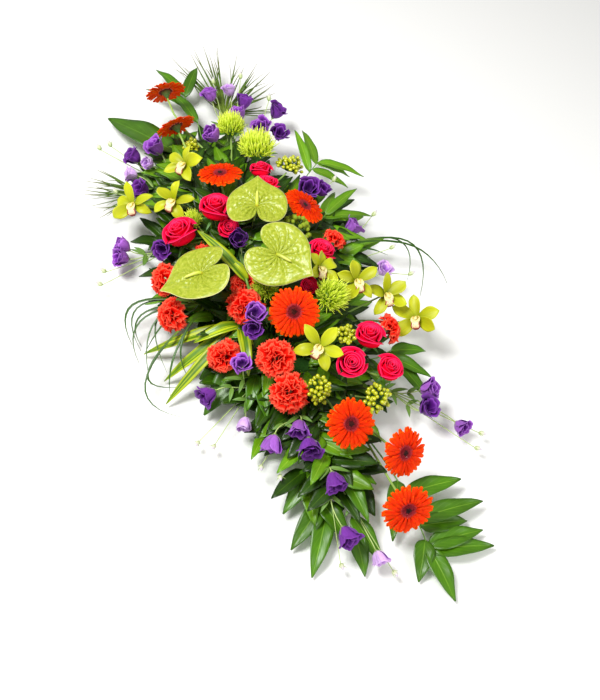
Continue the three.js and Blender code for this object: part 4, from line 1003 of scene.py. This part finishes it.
def stem_leaves(joint, toward, draw):
    """Two narrow leaves that part from a joint, one on each side, and arch over to their tips."""
    for side in (-1, 1):
        turn = side * draw.uniform(0.4, 1.1)
        tip = joint + turned(toward * LEVEL * STEM_LEAF_LENGTH * draw.uniform(0.7, 1.2), turn)
        tip[2] = max(tip[2] + draw.uniform(-6, 10), LEAF_TIP_LOWEST)
        curve = [joint, (joint + tip) / 2 + [0, 0, STEM_LEAF_ARCH], tip]
        yield leaf_on(curve, STEM_LEAF_WIDTH, "broad", 0.3, 0.03, side, 8, 5)


def lisianthus_spray(node, bells, buds):
    """One stem that forks: its main bow ends at the fork, which is 0.6 of the way to the middle of the
    bells and drops below it, and the side stems leave the last stretch of it one after the other."""
    points = corners(node)
    inner, outer, leaving = root_of(points)
    places = [(np.array(bell[:3], float), axes_of(*bell[4:]), bell[3]) for bell in bells]
    FACES.extend((*place, radius, *axes[2]) for place, axes, radius in places)
    bases = [place - axes[2] * 1.6 * radius for place, axes, radius in places]
    middle = np.mean(bases, 0)
    onward = unit(middle - outer)
    fork = outer + (middle - outer) * FORK_AT
    forks = [np.array([*fork[:2], max(FORK_LOWEST, fork[2] - drop)]) for drop in FORK_DROPS]
    tries = [(outer, leaving, fork, onward, pull) for fork in forks for pull in BOW_PULLS]
    main = min(tries, key=lambda one: misfit(bow(*one, [0.5, 1]), points))
    fork, half_way = main[2], bow(*main, [0.5])[0]
    path = np.concatenate([[inner], bow(*main, np.linspace(0, 1, STEM_POINTS))])
    stems, leaves = [tubes(path, np.linspace(2.3, 1.7, len(path)), 6)], []
    parts = {PALE_STEM: stems}
    draw = np.random.default_rng(len(node))
    for k, ((_, axes, radius), base) in enumerate(zip(places, bases)):
        joint = half_way + (fork - half_way) * (1 - FORK_AT * k / len(bells))
        steps = 2 if np.linalg.norm(joint - base) > LONG_STEM / 2 else 1
        side = bow_in(points, joint, onward, base, axes[2], steps)
        stems.append(tubes(side, np.linspace(1.6, 1.2, len(side)), 6))
        for place in (joint, side[len(side) // 2]):
            leaves += stem_leaves(place, onward, draw)
        stand(parts, bell_head(radius, len(node) * 5 + k), base, axes)
    for k, bud in enumerate(buds):
        base = np.array(bud, float)
        sag = (fork + base) / 2 + [0, 0, -4]
        stems.append(tubes(bezier([fork, sag, base], np.linspace(0, 1, 8)), np.linspace(1.3, 0.9, 8), 6))
        stand(parts, bud_head(BUD_RADIUS, k), base, axes_of(BUD_LEAN, np.degrees(np.arctan2(bud[1], bud[0]))))
    parts[NARROW_LEAF] = [thin(leaves, 0.5, len(node))]
    piece(f"{node}_spray", parts, node, "lisianthus")


for where, (bells, buds) in LISIANTHUS.items():
    lisianthus_spray(f"lisianthus_{where}", bells, buds)

# Leaves on canes
# Big aspidistra leaves and long dracaena straps that part from short canes. The broad ones are dark and
# glossy, with a sunken rib and fine ribs beside it, and the straps are dark along the middle and lime at
# the margins.

# How far a leaf may be turned, in degrees, and lifted, in mm, in its solid.
LEAF_TRIES = ((0, 0), (0, 12), (14, 4), (-14, 4), (0, 25), (24, 12), (-24, 12), (0, 40), (30, 30), (-30, 30))

# Each tuft has its kind, its leaves' width and arch, its crown, and the tips of its leaves.
TUFTS = {
    "aspidistra_head": ("aspidistra", 80, 22, (-30, 500, 62), [(-150, 700, 30)]),
    "aspidistra_left": ("aspidistra", 66, 26, (-90, -130, 80), [(-250, -228, 20), (-225, -140, 24)]),
    "dracaena_left": (
        "strap", 30, 34, (-112, -88, 120),
        [(-318, -168, 12), (-318, -27, 14), (-222, -84, 96), (-300, -110, 12), (-209, -183, 90),
         (-126, -202, 90)],
    ),
    "dracaena_centre": ("strap", 30, 24, (-65, -5, 165), [(-125, 150, 186), (-92, 66, 172)]),
}
LEAF_PATCH = 30
TIP_WITHIN = 1


def leaf_finish(name, middle, margin, vein, veins=6, rib=0.03, stripes=None):
    """A glossy leaf's finish: from its middle's colour to its margin's, with a pale rib, side veins that
    leave it at a slant, and broad patches of lighter and darker green. veins is how many pairs of side
    veins it has, and stripes the colour of lengthwise streaks over it, if there are any, and how many there
    are across it."""
    material, put = new_finish(name, Roughness=0.34, Specular_IOR_Level=0.4)
    tint, along, aside, chance = tints(put)
    colour = put("ValToRGB", aside, stops={0.1: middle, 0.5: middle, 0.95: margin})
    if stripes:
        stretched = put("Mapping", tint, (1.2, stripes[1], 40), **STRETCH)
        streak = put("MapRange", put("TexNoise", stretched, 1, 1, **NOISE), 0.48, 0.62)
        colour = put("Mix", streak, colour, stripes[0], **MIX)
    slant = put("Math", aside, -2.5, operation="MULTIPLY")
    row = put("Math", put("Math", along, veins, slant, operation="MULTIPLY_ADD"), 0.5, operation="PINGPONG")
    mid_vein = put("MapRange", aside, rib, rib * 1.8, 1, 0)
    line = put("Math", put("MapRange", row, 0, 0.09, 0.35, 0), mid_vein, operation="MAXIMUM")
    colour = put("Mix", line, colour, vein, **MIX)
    patch = put("TexNoise", put("TexCoord", out="Object"), PER_METRE / LEAF_PATCH, 3, **NOISE)
    light = put("Math", patch, 0.6, 0.5, operation="MULTIPLY_ADD")
    light = put("Math", chance, 0.4, light, operation="MULTIPLY_ADD")
    bump = put("Bump", line, 0.4, 0.6 * MM, invert=True, **BUMP)
    return finished(material, put("HueSaturation", light, colour, **LIGHTEN), bump)


LEAVES = {
    "aspidistra": (
        leaf_finish("dark glossy aspidistra leaf", "#467214", "#38640e", "#5c8a24", 5),
        "broad_leaf",
    ),
    "strap": (
        leaf_finish("lime-striped dracaena leaf", "#4e7c0c", "#a8b818", "#6a8c12", 2, 0.05, ("#b8c61c", 6)),
        "strap_leaf",
    ),
}
CANE = petal_finish("green cane", {0: "#4a7a2c", 1: "#6c9a3c"}, Roughness=0.5)


def leaf_curve(root, tip, arch, turn, lift):
    """The three points of a leaf's curve once it is turned about the vertical and lifted: its root, a crest
    at 0.45 of the way that is raised by the arch and half the lift, and its tip."""
    end = root + turned(tip - root, np.radians(turn))
    end[2] = max(end[2] + lift, LEAF_TIP_LOWEST)
    return np.array([root, root + (end - root) * 0.45 + UP * (arch + lift / 2), end])


def settled_leaf(points, root, tip, arch):
    """The leaf's curve as its solid has it: the try whose tip lies nearest to the node's corners, or none
    where even that one is too far off."""
    tries = [leaf_curve(root, np.array(tip, float), arch, turn, lift) for turn, lift in LEAF_TRIES]
    best = min(tries, key=lambda curve: misfit(curve[2:], points))
    return best if misfit(best[2:], points) < TIP_WITHIN else None


def cane_to(points, crown, radius, sides):
    """The short cane from the foam to the crown, with its root."""
    inner, outer, leaving = root_of(points)
    onward = unit(crown - outer)
    path = bow_in(points, outer, leaving, crown + 4 * onward, onward, 2)
    return tubes(np.concatenate([[inner], path]), radius, sides)


for node, (kind, width, arch, crown, tips) in TUFTS.items():
    points, crown = corners(node), np.array(crown, float)
    curves = [settled_leaf(points, crown, tip, arch) for tip in tips]
    found = [(k, curve) for k, curve in enumerate(curves) if curve is not None]
    sheets = [leaf_on(curve, width, kind, 0.22, 0.03, k, 17) for k, curve in found]
    finish, slot = LEAVES[kind]
    parts = {finish: [thin(sheets, 0.8, 3)], CANE: [cane_to(points, crown, 3, 8)]}
    piece(f"{node}_leaves", parts, node, slot)

# Leafy stems
# Eight stems of glossy evergreen foliage, with pointed oval leaves set to the left and the right by turns,
# each with three pale veins. They make the green fringe of the spray, pushed into the foam.

# Each stem has the places on its way, its leaves' width, and for each leaf its share of the way and tip.
LEAFY_STEMS = {
    "foot_right": (
        [(80, -400, 50), (99, -520, 46), (98, -638, 38), (94, -700, 30)],
        46,
        [(0.46, 222, -549, 40), (0.53, 12, -655, 20), (0.6, 225, -588, 34), (0.73, 250, -651, 26),
         (0.78, 195, -676, 18), (0.9, 25, -755, 12), (0.96, 215, -709, 22), (0.99, 78, -822, 12),
         (1, 223, -749, 14)],
    ),
    "foot": (
        [(-20, -380, 48), (-30, -450, 46), (-35, -520, 40), (-60, -610, 26)],
        42,
        [(0.45, 30, -532, 46), (0.6, -100, -590, 34), (0.7, 9, -608, 26), (0.9, -30, -690, 12),
         (0.97, -77, -700, 12)],
    ),
    "foot_left": (
        [(-60, -340, 50), (-72, -410, 46), (-98, -500, 36), (-100, -555, 26)],
        46,
        [(0.25, -192, -361, 30), (0.6, -183, -510, 20), (0.8, -50, -620, 18), (0.86, -200, -588, 14),
         (0.98, -184, -659, 12)],
    ),
    "left": (
        [(-100, -160, 70), (-120, -215, 88), (-118, -262, 66)],
        34,
        [(0.4, -200, -190, 50), (0.6, -197, -248, 60), (0.72, -138, -310, 70), (0.98, -169, -340, 30)],
    ),
    "right": (
        [(110, -230, 66), (170, -250, 66), (225, -240, 60)],
        36,
        [(0.55, 150, -345, 70), (0.66, 203, -405, 60), (0.84, 276, -344, 66), (0.9, 262, -400, 30),
         (0.98, 310, -266, 50)],
    ),
    "right_head": (
        [(150, 110, 80), (200, 140, 100), (228, 152, 112)],
        28,
        [(0.4, 286, 64, 88), (0.6, 341, 99, 62), (0.8, 300, 230, 90), (0.9, 362, 131, 84),
         (0.99, 345, 203, 118)],
    ),
    "head_right": (
        [(120, 200, 70), (200, 245, 84), (255, 285, 100), (298, 312, 108)],
        27,
        [(0.4, 235, 310, 92), (0.8, 277, 440, 118), (0.86, 347, 240, 80), (0.96, 306, 447, 102),
         (0.98, 376, 281, 70), (1, 407, 262, 80)],
    ),
    "head": (
        [(40, 400, 60), (55, 540, 58), (64, 590, 60), (72, 710, 50)],
        32,
        [(0.4, -35, 590, 50), (0.5, 130, 500, 80), (0.75, 39, 742, 50), (0.88, -15, 770, 40),
         (0.98, 144, 792, 50), (1, 39, 836, 40)],
    ),
}
LEAF_ARCH = 0.16
SIDEWAYS_TRIES, LIFT_TRIES = (0, 14, -14, 28, -28), (0, -12, 12)
STEM_LOWEST = 12
EVERGREEN = leaf_finish("glossy evergreen leaf", "#427006", "#366002", "#6a9420")
YOUNG_LEAF = leaf_finish("young evergreen leaf", "#5e8c0c", "#4c7c06", "#82a82c")
YOUNG_STEMS = ("right_head", "head_right")


def smooth_line(knots, shares):
    """Points on a centripetal Catmull-Rom curve through the knots: cubic pieces whose slopes at the knots
    weigh the steps on both sides by the root of their lengths."""
    whole = np.concatenate([[2 * knots[0] - knots[1]], knots, [2 * knots[-1] - knots[-2]]])
    place = np.asarray(shares, float) * (len(knots) - 1)
    first = np.minimum(place.astype(int), len(knots) - 2)
    t = (place - first)[:, None]
    a, b, c, d = (whole[first + k] for k in range(4))
    step = [np.sqrt(np.linalg.norm(q - p, axis=1, keepdims=True)) for p, q in ((a, b), (b, c), (c, d))]
    leave = ((b - a) / step[0] - (c - a) / (step[0] + step[1]) + (c - b) / step[1]) * step[1]
    arrive = ((c - b) / step[1] - (d - b) / (step[1] + step[2]) + (d - c) / step[2]) * step[1]
    return b + leave * t + (3 * (c - b) - 2 * leave - arrive) * t**2 + (2 * (b - c) + leave + arrive) * t**3


def routes_of(route, outer):
    """A leafy stem's route and the same moved aside, up or down, as its solid may be."""
    beside = np.cross(UP, unit(np.array(route[-1]) - outer))
    for lift in LIFT_TRIES:
        for aside in SIDEWAYS_TRIES:
            moved = [(x, y, max(z + lift, STEM_LOWEST)) for x, y, z in route]
            yield np.concatenate([[outer], np.array(moved) + beside * aside])


for where, (route, width, leaves) in LEAFY_STEMS.items():
    node = f"greenery_{where}"
    points = corners(node)
    inner, outer, leaving = root_of(points)
    fifths = np.arange(1, 6) / 5
    knots = min(routes_of(route, outer), key=lambda one: misfit(smooth_line(one, fifths), points))
    path = np.concatenate([[inner], smooth_line(knots, np.linspace(0, 1, 14))])
    sheets = []
    for share, *tip in leaves:
        root = smooth_line(knots, [share])[0]
        curve = settled_leaf(points, root, tip, LEAF_ARCH * np.linalg.norm(tip - root))
        if curve is not None:
            sheets.append(leaf_on(curve, width, "broad", 0.3, 0.05, len(sheets)))
    finish = YOUNG_LEAF if where in YOUNG_STEMS else EVERGREEN
    cane = tubes(path, np.linspace(2.4, 1.2, 15), 6)
    piece(f"{node}_stem", {finish: [thin(sheets, 0.7, len(node))], CANE: [cane]}, node, "greenery")

# Filling foliage
# Short stems of evergreen leaves, pushed into the foam all over before the blooms, hide the holder. Most of
# them are coloured darker, as painted shade in the gaps between the blooms.
# Their leaves are those of the longer stems. They leave the space at and in front of a bloom's face free,
# but nothing keeps them from passing through one another, through stems or through a bloom's back.

# Each group has how many stems it has, how far they reach aside and onward, its middle, how much higher its
# middle is than its rim, and its leaves' length.
FILLERS = (
    (110, (200, 500), (0, 60), 120, 86),
    (80, (125, 330), (0, 20), 165, 86),
    (34, (70, 210), (0, 0), 190, 70),
    (6, (60, 110), (-55, -440), 40, 108),
    (10, (70, 150), (215, 120), 60, 96),
)
FILLER_PITCH, FILLER_SHAPE, YOUNG_SHARE = 16, 0.4, 0.32
RIM_HEIGHT, FOAM_INSET, TWIG_ARCH, FILLER_ARCH = 26, 12, 14, 12
BEHIND, IN_FRONT, INSIDE_RIM = 0.5, 70, 2
# Painted shade: the filling leaves are a darker copy of the evergreen leaf, for the shade in the gaps.
FILLER_GREEN = leaf_finish("evergreen leaf darkened as painted shade", "#244402", "#1a3202", "#44640e")
centres, radii, facings = np.split(np.array(FACES, float), [3, 4], 1)


def is_free(points):
    """Whether a leaf's points all keep out of a short cylinder round every bloom's axis, which goes from half
    the bloom's radius behind its face to well in front of it, and is a little narrower than the bloom."""
    apart = points.reshape(-1, 1, 3) - centres
    height = np.sum(apart * facings, -1)
    aside = np.linalg.norm(apart - height[..., None] * facings, axis=-1)
    by_face = (height > -BEHIND * radii[:, 0]) & (height < IN_FRONT)
    return not np.any(by_face & (aside < radii[:, 0] - INSIDE_RIM))


def filling_stem(k, count, reach, centre, top, size, draw):
    """One short stem and its leaves. Ends lie on an ellipse's golden spiral, higher in the middle, and a
    stem starts at the foam's nearest point and arches over to its end."""
    share = np.sqrt((k + 0.5) / count)
    turn = GOLDEN_TURN * k
    place = np.array(reach) * share * [np.cos(turn), np.sin(turn)] + centre
    end = np.array([*place, RIM_HEIGHT + top * (1 - share**2)])
    root = np.clip(end, FOAM_LOW + FOAM_INSET, FOAM_HIGH - FOAM_INSET)
    crest = (root + end) / 2 + [0, 0, 0.16 * np.linalg.norm(end - root) + TWIG_ARCH]
    line = bezier([root, crest, end], np.linspace(0, 1, 9))
    length = np.linalg.norm(np.diff(line, axis=0), axis=1).sum()
    sheets = []
    for i in range(int(max(3, 0.8 * length / FILLER_PITCH))):
        at = max(0.15, 1 - i * FILLER_PITCH / length)
        joint, before = bezier([root, crest, end], [at, at - 0.02])
        turn = np.radians(0 if i == 0 else (-1) ** i * draw.uniform(35, 70))
        way = unit(turned(unit(joint - before) * LEVEL, turn) + [1e-3, 0, 0])
        way = way * size * draw.uniform(0.75, 1.15)
        tip = joint + (way + [0, 0, draw.uniform(-8, 26)])
        tip[2] = max(tip[2], LEAF_TIP_LOWEST)
        width = FILLER_SHAPE * size * draw.uniform(0.8, 1.15)
        curve = [joint, (joint + tip) / 2 + [0, 0, FILLER_ARCH], tip]
        leaf = leaf_on(curve, width, "broad", 0.3, 0.05, i, 8, 5)
        if is_free(leaf):
            sheets.append(leaf)
    return line, sheets


draw = np.random.default_rng(21)
grown = [filling_stem(k, count, *spread, draw) for count, *spread in FILLERS for k in range(count)]
leaves = np.array([leaf for _, sheets in grown for leaf in sheets])
young = np.random.default_rng(4).random(len(leaves)) < YOUNG_SHARE
twigs = tubes([line for line, _ in grown], np.linspace(2, 1, 9), 4)
# dark holds the leaves that take the painted shade colour; the rest are young and fresh.
dark, fresh = thin(leaves[~young], 0.6, 9), thin(leaves[young], 0.6, 8)
parts = {FILLER_GREEN: [dark], YOUNG_LEAF: [fresh], CANE: [twigs]}
piece("filling_foliage", parts, None, "greenery")

# Grass and palm
# Two tufts of bear grass, dark blades that rise from one stalk and fall over in high arcs, and two small
# palm fans of straight stiff leaflets. Both are keeled, leathery and faintly shiny.

# Each fan has its blades' width, the copies of each, its crown, and their tips, which in bear grass are
# followed by the control point of the blade's arc.
FANS = {
    "bear_grass_left": (
        6.4, 1, (-150, 10, 90),
        [(-320, -13, 8, -354, 137, 90), (-336, -42, 8, -353, 91, 90), (-333, -114, 8, -310, 91, 90),
         (-318, -27, 10, -234, 35, 110), (-297, -208, 8, -469, -128, 60), (-300, -150, 8, -300, -90, 110)],
    ),
    "bear_grass_right": (
        7, 0, (240, 70, 80),
        [(490, -85, 14, 452, 31, 130), (400, -98, 14, 507, 48, 130), (391, -44, 14, 463, 51, 130),
         (387, 33, 80, 306, 51, 110), (355, 19, 60, 289, 41, 100)],
    ),
    "palm_head": (
        4.4, 4, (150, 600, 60),
        [(90, 850, 60), (85, 800, 62), (165, 870, 60), (195, 870, 62), (225, 845, 60), (275, 810, 60),
         (320, 765, 60), (345, 725, 58), (325, 640, 60), (320, 560, 60)],
    ),
    "palm_left": (
        4.4, 4, (-160, 400, 56),
        [(-300, 440, 56), (-305, 405, 50), (-275, 490, 58), (-300, 470, 54), (-290, 370, 40),
         (-240, 520, 50)],
    ),
}
NEEDLE_LIFTS = (0, 20, -20, 40, 60)
NEEDLE_STRAY = np.array([[2, 2, 2], [12, 12, 8], [20, 20, 3]])
BLADE = petal_finish("dark bear grass blade", {0: "#7c9c34", 0.3: "#2e5410", 1: "#3c6416"}, Roughness=0.4)
PALM = petal_finish("olive palm leaflet", {0: "#6c8420", 0.6: "#486812", 1: "#70681c"}, Roughness=0.5)


def settled_needle(points, crown, needle):
    """The three points of a needle's curve. A palm leaflet is straight. A blade of bear grass has the
    control point of its arc lifted as its solid has it: by the lift whose middle lies nearest to the node's
    corners."""
    tip, control = np.array(needle[:3], float), np.array(needle[3:], float)
    if not len(control):
        return np.array([crown, (crown + tip) / 2, tip])
    tries = [np.array([crown, control + [0, 0, lift], tip]) for lift in NEEDLE_LIFTS]
    return min(tries, key=lambda curve: misfit(bezier(curve, [0.25, 0.5, 0.75]), points))


for node, (wide, copies, crown, tips) in FANS.items():
    points, crown = corners(node), np.array(crown, float)
    draw = np.random.default_rng(len(node))
    curves = [settled_needle(points, crown, tip) for tip in tips]
    for k in range(copies * len(tips)):
        moved = curves[k % len(tips)] + draw.normal(0, 1, (3, 3)) * NEEDLE_STRAY
        moved[2] = crown + (moved[2] - crown) * draw.uniform(0.7, 0.97)
        moved[2, 2] = max(moved[2, 2], LEAF_TIP_LOWEST)
        curves.append(moved)
    widths = [wide * draw.uniform(0.7, 1.15) for _ in curves]
    sheets = [leaf_on(*one, "blade", 0.5, 0.1, k, 14, 3) for k, one in enumerate(zip(curves, widths))]
    finish = BLADE if node.startswith("bear") else PALM
    parts = {finish: [thin(sheets, 0.5, 2)], CANE: [cane_to(points, crown, 2.6, 6)]}
    piece(f"{node}_blades", parts, node, "grass")

# Floor, light and camera
# A plain pale floor, a pale studio round it, one large soft light from above the left with a weaker one
# opposite, and a camera that looks at the spray from above its foot.

FLOOR_SIZE, FLOOR_GRAIN = 12, 3
STUDIO_LIGHT = 0.42
LIGHTS = {"key": ((-1.3, 0.5, 2.7), 1.0, 106), "fill": ((0.9, -2.7, 1.5), 2.0, 56)}
CAMERA_AT = (-0.7652, -1.1187, 1.8970)
CAMERA_RIGHT = (0.8914, -0.4248, 0.1581)
CAMERA_UP = (0.2846, 0.7960, 0.5343)
LENS, SENSOR = 48.5, 36
SPRAY_MIDDLE = (0, 0, 0.15)

floor_mesh = bpy.data.meshes.new("floor")
edge = FLOOR_SIZE / 2
floor_corners = [(-edge, -edge, 0), (edge, -edge, 0), (edge, edge, 0), (-edge, edge, 0)]
floor_mesh.from_pydata(floor_corners, [], [(0, 1, 2, 3)])
floor = bpy.data.objects.new("floor", floor_mesh)
bpy.context.scene.collection.objects.link(floor)
floor_mesh.materials.append(
    grained("pale matt floor", "#f0f0ee", "#f2f2f0", FLOOR_GRAIN, 0.01, Roughness=0.9)
)
floor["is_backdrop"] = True

world = bpy.data.worlds.new("pale studio")
world.use_nodes = True
world.node_tree.nodes["Background"].inputs["Color"].default_value = linear("#f7f6f3")
world.node_tree.nodes["Background"].inputs["Strength"].default_value = STUDIO_LIGHT
bpy.context.scene.world = world


def aimed(data, place, right, above):
    """A light or camera at a place, with its right and upward directions. It looks against their product."""
    matrix = Matrix(np.stack([right, above, np.cross(right, above)], 1).tolist()).to_4x4()
    matrix.translation = place
    holder = bpy.data.objects.new(data.name, data)
    bpy.context.scene.collection.objects.link(holder)
    holder.matrix_world = matrix
    return holder


for name, (place, size, power) in LIGHTS.items():
    lamp = bpy.data.lights.new(name, "AREA")
    lamp.size, lamp.energy = size, power
    back = unit(np.subtract(place, SPRAY_MIDDLE))
    side = unit(np.cross(UP, back))
    aimed(lamp, place, side, np.cross(back, side))

camera = aimed(bpy.data.cameras.new("camera"), CAMERA_AT, CAMERA_RIGHT, CAMERA_UP)
camera.data.lens, camera.data.sensor_width = LENS, SENSOR
bpy.context.scene.camera = camera
bpy.context.scene.view_settings.view_transform = "Standard"

boxes = {"cad": cad_box, "visual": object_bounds()}
{name: [list(low), list(high)] for name, (low, high) in boxes.items()}
